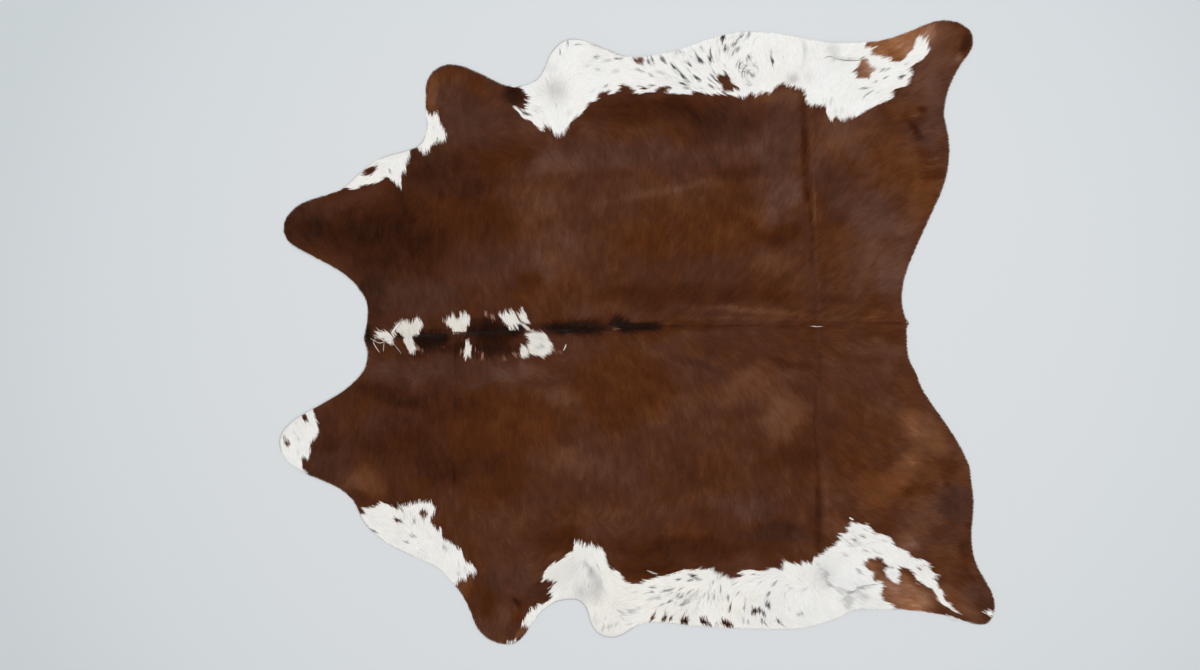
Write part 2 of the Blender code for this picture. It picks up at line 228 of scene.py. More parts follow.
# The same where it turns more closely, in the neck edges, elbows, belly, thighs and the backbone's
# spots. These rows are given by their place and heading on the floor.
CLOSE_LIE = tuple(Lie(*row) for row in (
    (-358, 746, -5), (-374, 704, -40), (-326, 675, -50), (-304, 650, -60), (-262, 666, -88),
    (-256, 730, -88), (-246, 890, -92), (-166, 720, 228), (-102, 784, 208), (-134, 880, 160),
    (-67, 877, 180), (42, 784, 178), (138, 771, 170), (58, 826, 155), (42, 874, 108), (122, 854, 122),
    (147, 822, 130), (170, 858, 150), (192, 813, 135), (144, 797, 165), (240, 790, 150), (202, 874, 125),
    (234, 899, 92), (250, 816, 130), (275, 938, 78), (282, 912, 85), (323, 931, 55), (317, 899, 60),
    (298, 790, 150), (432, 874, 108), (410, 771, 60), (634, 698, 90), (733, 784, 10), (739, 765, 38),
    (787, 842, 33), (845, 819, 33), (858, 861, 45), (912, 922, 60), (810, 912, 25), (-672, 586, -75),
    (-621, 618, -75), (-653, 666, -85), (-755, 474, -80), (-774, 538, -65), (-854, 518, 33),
    (-912, 474, 10), (-1059, -272, -55), (-1120, -352, -75), (-822, -573, -15), (-765, -602, -20),
    (-842, -634, -35), (-720, -650, -3), (-752, -560, -65), (-682, -573, -85), (-714, -602, -85),
    (-614, -685, -70), (-566, -742, -75), (-528, -758, -80), (-272, -758, 45), (-237, -736, 38),
    (-166, -694, 92), (-109, -714, 120), (-80, -762, 140), (-150, -822, 95), (-86, -934, 60),
    (-22, -893, 165), (42, -822, 182), (48, -768, 150), (96, -822, 190), (176, -778, 160), (170, -790, 195),
    (131, -838, 240), (166, -829, 230), (48, -912, 235), (90, -912, 250), (150, -918, 270),
    (266, -822, 268), (298, -877, 265), (221, -925, 285), (291, -931, 290), (368, -771, 180),
    (320, -800, 225), (416, -870, -62), (403, -896, -65), (419, -832, 240), (378, -890, -85),
    (451, -922, -45), (490, -742, 120), (714, -678, -20), (794, -656, -15), (656, -653, -25),
    (938, -790, -38), (752, -746, -20), (867, -774, -20), (874, -845, -12), (-829, -13, 140),
    (-774, 3, 120), (-723, 16, 95), (-723, -38, 100), (-573, 35, 95), (-541, -51, 85), (-429, 42, 105),
    (-397, 48, 110), (-358, 58, 125), (-317, -38, 150), (-358, -58, 110),
))
WHORL = (362.0, 829.0)  # middle of the hair whorl on the right flank
WHORL_REACH = 42.0
WHORL_MIDDLE = 1e-6  # reach within which its heading dies out
WHORL_TURN = 68.0  # angle between the hair and the line out of the whorl's middle

# White and tan areas, each a closed border. Its part outside the cut edge is only roughly placed.
Area = namedtuple("Area", "tone warmth border")

AREAS = {
    "neck edge, right": Area(0.95, 0.5, (
        (-931, 464), (-918, 464), (-906, 461), (-893, 464), (-880, 470), (-867, 475), (-854, 477),
        (-832, 480), (-819, 486), (-810, 494), (-800, 499), (-790, 496), (-781, 490), (-774, 483),
        (-768, 474), (-762, 470), (-755, 462), (-752, 474), (-752, 486), (-755, 496), (-752, 512),
        (-742, 522), (-738, 531), (-736, 544), (-730, 560), (-726, 576), (-723, 582), (-735, 622),
        (-870, 596), (-965, 500),
    )),
    "shoulder hollow, right": Area(0.95, 0.5, (
        (-707, 592), (-701, 589), (-694, 584), (-682, 578), (-674, 573), (-669, 579), (-666, 586),
        (-659, 598), (-653, 603), (-643, 608), (-640, 614), (-630, 614), (-619, 608), (-614, 621),
        (-611, 637), (-614, 646), (-624, 659), (-627, 675), (-632, 691), (-637, 702), (-643, 704),
        (-650, 702), (-653, 694), (-659, 693), (-666, 701), (-675, 717), (-680, 730), (-701, 726),
        (-694, 650), (-723, 598),
    )),
    "belly, right": Area(0.955, 0.42, (
        (-406, 789), (-374, 787), (-365, 781), (-358, 771), (-352, 762), (-342, 750), (-349, 742),
        (-342, 736), (-352, 726), (-355, 720), (-368, 717), (-378, 717), (-390, 723), (-398, 728),
        (-394, 722), (-384, 710), (-374, 698), (-365, 690), (-349, 682), (-333, 674), (-323, 666),
        (-314, 653), (-307, 646), (-298, 656), (-293, 667), (-285, 659), (-275, 656), (-269, 643),
        (-259, 635), (-246, 634), (-237, 637), (-227, 650), (-218, 666), (-205, 682), (-192, 691),
        (-182, 696), (-176, 704), (-163, 717), (-157, 730), (-150, 739), (-138, 742), (-128, 749),
        (-125, 758), (-118, 768), (-112, 773), (-106, 770), (-96, 774), (-86, 765), (-77, 765), (-64, 771),
        (-58, 784), (-51, 797), (-38, 792), (-26, 790), (-16, 784), (-10, 778), (0, 766), (10, 765),
        (26, 770), (58, 771), (61, 784), (74, 787), (83, 789), (99, 790), (109, 784), (102, 778), (96, 766),
        (112, 765), (138, 765), (154, 760), (170, 765), (186, 773), (202, 771), (227, 766), (240, 763),
        (253, 766), (272, 766), (275, 774), (272, 784), (272, 797), (259, 806), (254, 817), (262, 826),
        (272, 822), (282, 825), (289, 816), (298, 806), (304, 797), (320, 789), (334, 784), (320, 779),
        (298, 774), (288, 771), (288, 763), (298, 760), (314, 757), (333, 755), (352, 760), (365, 768),
        (371, 768), (381, 755), (387, 763), (397, 771), (403, 768), (413, 774), (419, 768), (427, 765),
        (435, 778), (445, 789), (458, 794), (474, 797), (490, 792), (506, 789), (522, 782), (528, 774),
        (534, 779), (538, 768), (541, 752), (546, 736), (560, 731), (586, 728), (602, 723), (605, 714),
        (608, 701), (611, 691), (621, 683), (630, 688), (640, 693), (646, 685), (653, 678), (666, 678),
        (675, 688), (688, 694), (701, 693), (714, 701), (733, 710), (752, 720), (768, 728), (784, 734),
        (806, 746), (816, 752), (819, 762), (816, 774), (835, 782), (858, 790), (874, 797), (870, 803),
        (874, 816), (880, 826), (877, 835), (874, 845), (877, 854), (896, 864), (909, 874), (922, 883),
        (931, 893), (938, 907), (931, 918), (928, 931), (931, 947), (915, 934), (912, 941), (899, 947),
        (893, 938), (886, 928), (886, 918), (877, 902), (867, 893), (861, 880), (848, 870), (838, 864),
        (832, 867), (822, 864), (810, 874), (797, 883), (778, 885), (765, 886), (752, 891), (749, 899),
        (762, 917), (746, 910), (733, 917), (733, 923), (739, 931), (733, 954), (426, 995), (-246, 976),
        (-326, 874), (-422, 810),
    )),
    "thigh, right, tan island": Area(0.55, 0.45, (
        (717, 874), (720, 882), (733, 880), (739, 864), (752, 854), (765, 848), (758, 832), (746, 821),
        (739, 813), (707, 813), (698, 816), (701, 832), (691, 835), (704, 851), (714, 867),
    )),
    "belly, right, brown square": Area(0.44, 0.62, (
        (-16, 883), (16, 886), (21, 874), (19, 864), (13, 861), (0, 858), (-10, 867),
    )),
    "cheek, left": Area(0.945, 0.5, (
        (-1037, -243), (-1032, -256), (-1026, -269), (-1022, -282), (-1021, -298), (-1019, -310),
        (-1021, -326), (-1027, -328), (-1034, -339), (-1040, -342), (-1045, -352), (-1046, -368),
        (-1043, -378), (-1048, -394), (-1056, -400), (-1066, -397), (-1072, -403), (-1074, -416),
        (-1070, -429), (-1062, -442), (-1053, -454), (-1110, -470), (-1187, -390), (-1168, -272),
        (-1066, -218),
    )),
    "shoulder, left": Area(0.945, 0.5, (
        (-886, -586), (-880, -579), (-874, -576), (-874, -563), (-861, -560), (-842, -557), (-829, -549),
        (-819, -533), (-810, -544), (-797, -549), (-784, -558), (-771, -563), (-762, -560), (-752, -552),
        (-739, -547), (-726, -547), (-710, -546), (-698, -542), (-693, -536), (-682, -541), (-666, -541),
        (-653, -549), (-646, -560), (-645, -570), (-653, -579), (-659, -589), (-659, -602), (-656, -614),
        (-646, -626), (-637, -630), (-627, -627), (-624, -643), (-624, -656), (-618, -662), (-605, -664),
        (-592, -672), (-582, -682), (-573, -690), (-560, -694), (-557, -710), (-554, -723), (-544, -736),
        (-538, -739), (-534, -733), (-528, -742), (-518, -752), (-515, -762), (-520, -771), (-528, -768),
        (-534, -774), (-541, -768), (-544, -781), (-546, -790), (-554, -787), (-560, -782), (-570, -792),
        (-576, -800), (-582, -806), (-614, -829), (-758, -765), (-912, -624),
    )),
    "belly, left": Area(0.945, 0.5, (
        (-285, -859), (-278, -854), (-272, -845), (-275, -835), (-282, -829), (-275, -816), (-269, -806),
        (-259, -797), (-278, -792), (-291, -790), (-304, -798), (-301, -778), (-294, -762), (-285, -749),
        (-275, -739), (-266, -730), (-259, -736), (-246, -730), (-230, -715), (-218, -704), (-208, -701),
        (-205, -691), (-203, -672), (-202, -662), (-195, -669), (-186, -672), (-179, -669), (-173, -675),
        (-163, -678), (-154, -683), (-147, -677), (-138, -682), (-125, -682), (-115, -688), (-106, -699),
        (-99, -710), (-99, -723), (-96, -739), (-90, -752), (-80, -758), (-74, -755), (-64, -758),
        (-54, -768), (-48, -778), (-45, -787), (-35, -797), (-22, -803), (-6, -802), (10, -798), (26, -795),
        (38, -790), (51, -784), (67, -779), (83, -778), (96, -779), (102, -773), (112, -768), (128, -768),
        (138, -762), (147, -757), (170, -755), (179, -758), (192, -754), (214, -755), (234, -757),
        (253, -763), (266, -770), (278, -778), (291, -784), (307, -786), (323, -782), (339, -774),
        (323, -768), (336, -762), (352, -758), (368, -757), (381, -757), (390, -762), (406, -762),
        (422, -757), (432, -750), (445, -752), (458, -758), (467, -755), (470, -742), (472, -726),
        (483, -733), (493, -739), (502, -742), (512, -738), (518, -738), (528, -741), (534, -736),
        (547, -733), (557, -730), (570, -720), (582, -710), (595, -704), (605, -694), (611, -688),
        (627, -682), (637, -672), (650, -662), (653, -650), (646, -640), (662, -638), (675, -635),
        (672, -624), (678, -621), (682, -608), (688, -605), (704, -608), (717, -608), (730, -614),
        (742, -616), (746, -624), (755, -630), (765, -640), (778, -642), (794, -645), (806, -650),
        (810, -659), (819, -666), (822, -677), (829, -683), (845, -691), (858, -694), (867, -699),
        (874, -710), (883, -717), (896, -722), (912, -723), (925, -726), (934, -736), (938, -749),
        (941, -762), (954, -768), (968, -774), (954, -781), (944, -787), (957, -794), (960, -806),
        (966, -816), (979, -822), (982, -832), (976, -842), (982, -848), (992, -858), (1002, -867),
        (1005, -874), (1011, -883), (1024, -893), (1034, -899), (1018, -894), (1005, -886), (992, -875),
        (979, -870), (966, -858), (957, -848), (960, -840), (950, -829), (938, -816), (922, -806),
        (906, -797), (896, -787), (890, -774), (880, -762), (870, -754), (858, -749), (845, -750),
        (837, -752), (838, -765), (842, -778), (838, -787), (838, -800), (826, -800), (816, -789),
        (803, -784), (797, -778), (797, -768), (789, -758), (805, -752), (797, -742), (790, -733),
        (781, -723), (765, -720), (746, -720), (733, -725), (728, -733), (728, -741), (736, -752),
        (749, -762), (755, -768), (752, -778), (758, -790), (771, -797), (781, -792), (790, -800),
        (784, -816), (778, -829), (781, -845), (790, -854), (803, -861), (813, -867), (822, -877),
        (822, -934), (-118, -1014), (-294, -982), (-346, -950), (-350, -939), (-357, -934), (-363, -931),
        (-370, -938), (-368, -925), (-362, -917), (-357, -909), (-354, -902), (-352, -898), (-346, -894),
        (-336, -890), (-341, -886), (-333, -882), (-323, -877), (-317, -872), (-307, -867), (-294, -862),
    )),
    "foreleg, left, tip tuft": Area(0.95, 0.7, (
        (-418, -984), (-413, -997), (-403, -998), (-390, -993), (-382, -984), (-387, -977), (-394, -981),
        (-400, -986), (-408, -988),
    )),
    "hind leg, left, white end": Area(0.95, 0.5, (
        (1101, -886), (1110, -893), (1120, -890), (1133, -886), (1136, -893), (1142, -906), (1136, -912),
        (1126, -902), (1114, -896),
    )),
    "backbone, first tuft": Area(0.895, 0.8, (
        (-845, -24), (-838, -10), (-829, 8), (-824, 13), (-822, 0), (-813, 2), (-806, 6), (-797, 0),
        (-787, -6), (-778, -16), (-773, -29), (-781, -37), (-790, -32), (-803, -27), (-816, -22),
        (-832, -19), (-842, -27),
    )),
    "backbone, tuft between": Area(0.895, 0.8, (
        (-787, -6), (-771, 18), (-758, 35), (-752, 32), (-765, 13), (-781, -10),
    )),
    "backbone, second spot": Area(0.895, 0.8, (
        (-771, 16), (-765, 24), (-758, 37), (-746, 42), (-733, 37), (-723, 30), (-717, 40), (-704, 45),
        (-691, 38), (-682, 26), (-688, 16), (-694, 8), (-701, 0), (-714, -5), (-717, -16), (-714, -29),
        (-707, -45), (-710, -61), (-723, -66), (-733, -61), (-739, -38), (-747, -29), (-742, -16),
        (-752, -3), (-768, 3),
    )),
    "backbone, third spot": Area(0.895, 0.8, (
        (-621, 43), (-611, 38), (-605, 51), (-595, 54), (-589, 66), (-582, 51), (-573, 46), (-566, 67),
        (-557, 61), (-547, 62), (-538, 54), (-531, 45), (-538, 32), (-544, 19), (-547, 10), (-544, 2),
        (-563, 0), (-579, 5), (-595, 13), (-605, 19), (-614, 32),
    )),
    "backbone, spot below it": Area(0.895, 0.8, (
        (-547, -26), (-538, -32), (-531, -48), (-530, -67), (-533, -83), (-541, -74), (-546, -82),
        (-552, -67), (-554, -48),
    )),
    "backbone, fourth spot": Area(0.895, 0.8, (
        (-445, 66), (-432, 58), (-422, 61), (-421, 80), (-413, 58), (-406, 67), (-397, 78), (-394, 70),
        (-387, 54), (-381, 45), (-371, 32), (-378, 24), (-390, 19), (-400, 16), (-410, 19), (-422, 29),
        (-432, 42), (-438, 53),
    )),
    "backbone, fifth spot": Area(0.895, 0.8, (
        (-370, 80), (-365, 75), (-358, 66), (-352, 51), (-346, 38), (-339, 24), (-352, 32), (-365, 38),
        (-374, 48), (-381, 58), (-374, 64),
    )),
    "backbone, strands beside it": Area(0.86, 0.5, (
        (-371, 29), (-352, 22), (-333, 13), (-320, 2), (-339, 3), (-358, 13),
    )),
    "backbone, large spot": Area(0.895, 0.8, (
        (-346, 0), (-320, 2), (-294, 0), (-288, -10), (-282, -22), (-272, -32), (-270, -48), (-275, -61),
        (-285, -72), (-301, -74), (-317, -70), (-333, -72), (-342, -61), (-349, -42), (-344, -22),
        (-352, -10),
    )),
    "backbone, spot before it": Area(0.895, 0.8, (
        (-371, -51), (-365, -43), (-352, -45), (-346, -58), (-346, -72), (-355, -78), (-371, -75),
        (-374, -61),
    )),
}

# Soft shades in the brown coat: how much lighter or darker, and how much warmer or greyer, the hair
# is in the middle of each long round spot. Besides the coat's own patches they hold painted sheen:
# the greyer violet patches stand for light reflected off the lying hair.
Shade = namedtuple("Shade", "x y length width turn tone warmth")

SHADES_AND_SHEEN = tuple(Shade(*row) for row in (
    # neck, cheek and shoulder, right
    (-1078, 336, 192, 192, 0, -0.07, -0.05), (-934, 346, 352, 192, 15, -0.07, 0.1),
    (-966, 410, 352, 58, 20, 0.03, -0.35), (-790, 282, 420, 256, -10, -0.07, 0.35),
    (-838, 106, 128, 192, 0, -0.06, -0.25), (-694, 122, 330, 150, 0, -0.005, -0.6),
    (-758, 410, 192, 160, 0, -0.03, 0.1), (-678, 538, 160, 160, 0, -0.06, -0.2),
    (-582, 490, 320, 160, 0, -0.08, 0.2), (-656, 762, 144, 51, 90, 0.15, 0.4),
    (-582, 746, 192, 192, 0, 0, -0.3), (-560, 808, 250, 80, -12, 0.03, 0.35),
    (-422, 784, 160, 51, -20, -0.05, 0.2), (-390, 755, 120, 76, 0, -0.21, 0),
    (-502, 650, 288, 160, 0, -0.02, -0.4), (-438, 570, 352, 128, 0, -0.04, 0.3),
    (-566, 378, 384, 160, 0, -0.03, 0.45), (-342, 426, 288, 192, 0, 0.05, 0),
    (-438, 218, 416, 160, 0, 0, -0.35), (-342, 180, 128, 70, 0, -0.05, 0.4),
    (-598, 330, 560, 300, 0, -0.03, 0.1), (-630, 323, 150, 130, 0, -0.03, 0.2),
    # ribs, flank and loin, right
    (-262, 250, 224, 256, 100, 0.045, -0.15), (-246, 538, 384, 96, 0, 0.05, -0.35),
    (-54, 570, 576, 128, 0, 0.005, -0.5), (42, 714, 576, 109, 0, -0.1, 0.25),
    (282, 666, 288, 160, 0, -0.11, -0.2), (170, 538, 288, 96, 8, -0.02, -0.35),
    (106, 458, 480, 38, 12, 0.07, -0.2), (330, 515, 160, 64, 0, -0.08, 0.1),
    (458, 618, 320, 160, 80, -0.01, -0.75), (474, 442, 192, 115, 60, 0.05, -0.7),
    (170, 314, 576, 192, 5, 0.01, 0.45), (346, 346, 288, 70, -30, -0.06, 0.4),
    (474, 314, 160, 83, 20, -0.06, 0.45), (442, 218, 192, 96, 0, 0.1, 0),
    (138, 122, 640, 96, 0, -0.06, 0.35), (458, 122, 224, 70, 0, -0.03, 0.3),
    (378, 67, 480, 26, -2, 0.09, 0), (458, 752, 192, 58, 0, 0.08, 0.1), (362, 362, 220, 150, 0, 0.05, 0),
    (323, 602, 280, 130, 0, -0.005, -0.35), (-118, 438, 300, 200, 0, 0.01, -0.25),
    (586, 544, 80, 170, 0, 0.02, -0.4),
    # croup, rump, thigh and hind leg, right
    (618, 650, 96, 192, 0, 0.04, 0.05), (704, 600, 260, 210, 0, 0.06, -0.2),
    (618, 474, 160, 160, 0, -0.03, -0.4), (634, 378, 96, 96, 0, -0.07, -0.1),
    (762, 378, 192, 192, 0, 0.02, -0.6), (858, 538, 192, 224, 60, 0.04, 0.35),
    (918, 436, 230, 110, 65, 0.07, 0.2), (858, 282, 192, 77, 75, 0.035, -0.25),
    (950, 666, 200, 96, 90, 0.01, -0.55), (890, 666, 120, 44, -50, -0.08, 0.3),
    (947, 508, 77, 50, 0, -0.1, 0.2), (925, 586, 60, 40, -45, -0.04, 0.4),
    (746, 218, 256, 192, 0, 0.05, -0.3), (826, 170, 160, 128, 0, 0.03, -0.5),
    (634, 112, 160, 51, 0, -0.06, 0), (970, 906, 224, 160, 0, 0.07, 0),
    (928, 800, 150, 150, 0, 0.075, -0.2), (1036, 884, 52, 26, 60, 0.1, -0.35),
    (1062, 922, 80, 40, 65, -0.15, -0.05), (858, 714, 160, 64, 0, 0.06, 0.2),
    (818, 925, 330, 190, 22, 0.265, 0.35), (602, 656, 240, 150, 0, 0.01, -0.35),
    (682, 586, 160, 90, 0, 0.02, -0.05), (701, 426, 190, 170, 0, 0, -0.35),
    (963, 835, 260, 330, 0, 0.01, -0.25), (954, 960, 120, 70, 20, 0.07, 0),
    (909, 717, 44, 24, -20, -0.08, 0.1),
    # neck, cheek and shoulder, left
    (-758, -118, 352, 109, 0, 0.03, -0.55), (-534, -102, 384, 77, 0, 0, -0.4),
    (-406, -125, 192, 64, 0, 0.05, -0.35), (-806, -198, 320, 70, -10, -0.08, 0.1),
    (-758, -342, 384, 192, 0, -0.045, 0.05), (-806, -294, 192, 96, 20, 0, -0.35),
    (-982, -326, 128, 160, 0, -0.05, -0.1), (-998, -422, 192, 77, -25, -0.03, -0.4),
    (-852, -470, 170, 105, -45, 0.12, 0.1), (-918, -470, 160, 77, -30, 0.06, -0.1),
    (-438, -278, 448, 288, 0, -0.01, 0.5), (-502, -54, 544, 45, 0, -0.12, -0.05),
    (-470, -470, 448, 224, 0, -0.05, 0.3), (-630, -438, 192, 160, 0, -0.055, 0),
    (-662, -310, 480, 300, 0, -0.025, 0.1), (-598, -221, 230, 160, 0, -0.03, 0.05),
    # foreleg, left
    (-246, -198, 160, 77, 0, 0.08, -0.2), (-246, -662, 192, 96, 0, -0.05, 0.3),
    (-374, -678, 288, 160, 0, 0, -0.1), (-406, -790, 192, 128, 0, -0.01, -0.45),
    (-294, -822, 96, 77, 0, -0.08, -0.2), (-486, -854, 160, 224, -60, -0.05, 0.2),
    (-368, -957, 60, 36, 50, 0.17, 0), (-384, -861, 22, 44, 10, -0.06, 0.4),
    (-556, -826, 96, 120, -30, 0.11, 0.2), (-243, -704, 70, 40, 30, 0.08, 0),
    (-470, -867, 110, 44, 80, -0.05, 0.35), (-432, -912, 90, 40, 90, 0.035, -0.45),
    (-381, -854, 34, 30, 0, -0.12, 0.1), (-397, -902, 70, 36, 60, 0.01, 0.4),
    # ribs, flank and loin, left
    (-54, -182, 352, 288, 0, -0.01, 0.6), (170, -125, 288, 96, 0, 0, -0.25),
    (362, -166, 288, 160, 10, 0.1, -0.05), (474, -262, 192, 160, 60, 0.12, -0.05),
    (58, -262, 128, 96, 0, 0.07, 0), (186, -214, 192, 77, 0, 0.05, 0), (202, -102, 192, 32, -10, -0.05, 0),
    (490, -102, 192, 32, -10, -0.06, 0.2), (-198, -406, 128, 160, 0, 0.06, -0.1),
    (-54, -438, 352, 128, 0, 0.02, -0.15), (170, -438, 448, 160, 0, -0.01, 0.1),
    (506, -390, 192, 128, 0, -0.07, 0.3), (-118, -598, 352, 160, 0, 0.03, -0.15),
    (356, -560, 352, 100, -8, 0.01, -0.5), (442, -646, 288, 83, 0, -0.08, -0.4),
    (170, -694, 608, 96, 0, -0.09, 0.3), (42, -758, 224, 64, 0, -0.07, 0.4),
    (202, -598, 280, 120, 0, -0.04, 0),
    # croup, rump, thigh and hind leg, left
    (650, -630, 96, 160, 60, 0.07, -0.1), (746, -310, 240, 300, 0, 0.02, 0.1),
    (922, -326, 224, 128, -50, 0.13, 0.2), (858, -438, 160, 96, 50, 0.12, 0.1),
    (762, -502, 192, 160, 0, 0.08, 0.25), (858, -502, 128, 51, 20, 0, 0.7),
    (1002, -422, 109, 83, 0, -0.05, 0.2), (922, -582, 128, 160, 60, 0.09, 0.1),
    (1018, -550, 128, 192, 90, -0.08, -0.6), (1050, -611, 30, 34, 0, -0.08, 0.1),
    (990, -486, 34, 22, 0, -0.12, 0), (1038, -672, 32, 28, -40, -0.08, 0.1),
    (954, -726, 128, 96, 0, -0.03, 0.1), (1002, -838, 192, 77, -45, 0.04, 0.15),
    (1082, -822, 83, 70, 0, 0, -0.5), (1072, -765, 80, 22, -60, -0.08, 0),
    (858, -662, 128, 77, -30, 0.1, -0.1), (778, -54, 192, 96, 0, 0.05, -0.2),
    (856, -842, 290, 150, -14, 0.235, 0.08), (750, -752, 100, 110, 40, 0.15, 0.1),
    (874, -774, 70, 60, 0, 0.08, 0.2), (1016, -534, 64, 192, 10, -0.02, -0.2),
    (1124, -850, 50, 170, 20, -0.03, -0.4), (1056, -752, 26, 70, 0, -0.04, 0),
    (1030, -850, 170, 110, -30, 0.08, 0), (1091, -909, 110, 60, -50, 0.07, -0.1),
    (970, -726, 130, 120, 0, 0.05, 0.1), (877, -666, 190, 140, 20, 0.05, 0.05),
    (931, -445, 130, 90, -20, 0.05, 0.05), (906, -502, 70, 50, 0, 0.02, 0.4),
    (1053, -678, 50, 110, 0, -0.05, 0), (1059, -886, 130, 50, -25, 0.05, 0),
    (764, -734, 64, 30, -15, -0.1, 0), (874, -762, 56, 34, -30, -0.09, 0),
    # backbone
    (-662, -13, 136, 74, 0, -0.3, -0.1), (-765, -13, 32, 28, 0, -0.26, -0.2),
    (-851, -10, 40, 84, 0, -0.22, -0.1), (-460, 4, 220, 124, 0, -0.2, 0.3),
    (-374, 6, 96, 40, 0, -0.12, 0.1), (-205, 18, 250, 68, 0, -0.23, 0.5), (-36, 22, 136, 66, 0, -0.24, 0),
    (38, 34, 100, 44, 0, -0.21, 0.3), (160, 12, 220, 44, 0, -0.06, 0.3), (106, 19, 420, 60, 0, 0.01, 0.35),
    (-189, 16, 160, 60, 0, 0, 0.35), (-90, 16, 440, 100, 0, -0.05, 0.1), (-272, 14, 130, 60, 0, -0.1, 0.1),
    # the whole front and rear
    (-1000, 60, 1300, 1700, 0, -0.045, 0), (980, 0, 700, 2000, 0, 0.02, 0),
))

# The same in the white, where it is more ivory or more neutral, and painted shade where it is greyer
# in the elbows' hollows.
TINTS_AND_SHADE = tuple(Shade(*row) for row in (
    # belly, left
    (90, -864, 700, 260, 0, 0, 0.35), (666, -790, 330, 260, 0, 0, -0.1),
    # shoulder, left
    (-726, -614, 300, 160, -30, 0, 0.2),
    # elbows, right and left: painted shade in their hollows
    (-246, 778, 110, 150, 0, -0.012, 0), (-150, -806, 130, 150, 0, -0.016, -0.15),
))

# Lines along folds and wrinkles: painted shade on their dark sides and in their hollows, and painted
# light on their lit sides and crests, partly where the hair parts or stands up.
Line = namedtuple("Line", "width tone warmth path")

LIGHT_AND_SHADE_LINES = {
    "cross fold, dark side, upper": Line(34, -0.12, 0.4, ((530, 770), (536, 600), (542, 400))),
    "cross fold, darkest line": Line(14, -0.03, 0.3, ((540, 760), (545, 600), (549, 400))),
    "cross fold, dark side, middle": Line(16, -0.09, 0.1, ((550, 420), (562, 243), (577, 22))),
    "cross fold, light side": Line(11, 0.06, -0.1, ((562, 560), (568, 420), (578, 200), (588, 40))),
    "cross fold, dark side, lower": Line(13, -0.085, 0.3, (
        (586, -10), (583, -130), (571, -210), (570, -320), (577, -450))),
    "cross fold, dark side, end": Line(26, -0.11, 0.35, ((580, -420), (580, -560), (580, -720))),
    "cross fold, light side, end": Line(26, 0.05, -0.1, ((606, -440), (608, -560), (610, -680))),
    "backbone, shadow": Line(12, -0.04, 0.1, ((-868, -19), (-500, 4), (-118, 10), (202, 24))),
    "backbone, shadow to the tail": Line(12, -0.02, 0.0, ((202, 24), (570, 24), (740, 28), (868, 32))),
    "backbone, shadow at the tail head": Line(14, -0.06, 0.0, ((760, 30), (820, 32), (884, 33))),
    "backbone, lighter crest": Line(12, 0.05, 0.1, ((100, 46), (300, 48), (560, 44), (800, 52))),
    "backbone, dark flank": Line(40, -0.02, 0.1, ((200, 22), (420, 24), (700, 30))),
    "old fold by the shoulder": Line(8, -0.05, 0.0, ((-576, 170), (-580, -60), (-584, -300), (-586, -540))),
    "rump wrinkle, hook": Line(24, -0.06, 0.3, (
        (870, 682), (886, 659), (899, 637), (918, 618), (931, 592), (941, 570),
    )),
    "rump wrinkle, dark mark": Line(18, -0.07, 0.2, ((890, 730), (909, 717), (928, 707))),
    "rump wrinkle, light spot": Line(16, 0.05, -0.4, ((880, 688), (896, 698), (912, 694))),
    "rump wrinkle, light bar": Line(11, 0.09, -0.3, ((922, 554), (944, 554), (970, 563))),
    "rump wrinkle, cross line": Line(10, -0.08, 0.1, ((893, 554), (934, 541), (963, 531), (992, 528))),
    "rump swirl, light arc": Line(8, 0.04, 0.0, ((851, -566), (870, -541), (899, -525), (938, -522))),
    "rump swirl, dark arc": Line(8, -0.04, 0.0, ((848, -586), (870, -557), (902, -541))),
    "rump swirl, curl": Line(7, -0.05, 0.0, (
        (902, -586), (925, -595), (944, -614), (934, -637), (957, -656), (982, -672),
    )),
    "rump swirl, light curl": Line(7, 0.04, 0.0, ((915, -611), (925, -627), (922, -650))),
}

# Painted shade along the creases in the white, laid in the same way.
CREASE_SHADES = {
    "right flank line": Line(10, -0.06, 0.0, ((608, 885), (624, 880), (650, 876), (698, 874), (723, 875))),
    "right flank fold": Line(18, -0.03, 0.0, ((531, 944), (534, 899), (534, 854))),
    "right elbow, edge shadow": Line(9, -0.05, 0.0, ((-163, 926), (-138, 920), (-112, 909))),
    "right belly, edge shadow": Line(9, -0.05, 0.0, ((-96, 901), (-61, 891), (-19, 882))),
    "flank pocket": Line(14, -0.06, 0.0, (
        (640, -813), (666, -826), (691, -827), (710, -816), (730, -811), (762, -803),
    )),
    "flank pocket, fold line": Line(13, -0.05, 0.0, (
        (586, -723), (592, -765), (611, -797), (627, -813), (643, -822), (659, -845),
    )),
    "left elbow, edge of the hollow": Line(20, -0.025, 0.0, (
        (-182, -723), (-160, -746), (-141, -774), (-131, -810),
    )),
    "left shoulder arc": Line(8, -0.07, 0.0, ((-707, -714), (-688, -701), (-675, -685), (-667, -669))),
}

# Small spots of another colour, each with its own length, width, turn, tone and warmth. Those without
# a warmth are of grey hair.
GREY = -1.0
Fleck = namedtuple("Fleck", "x y length width turn tone warmth", defaults=(GREY,))

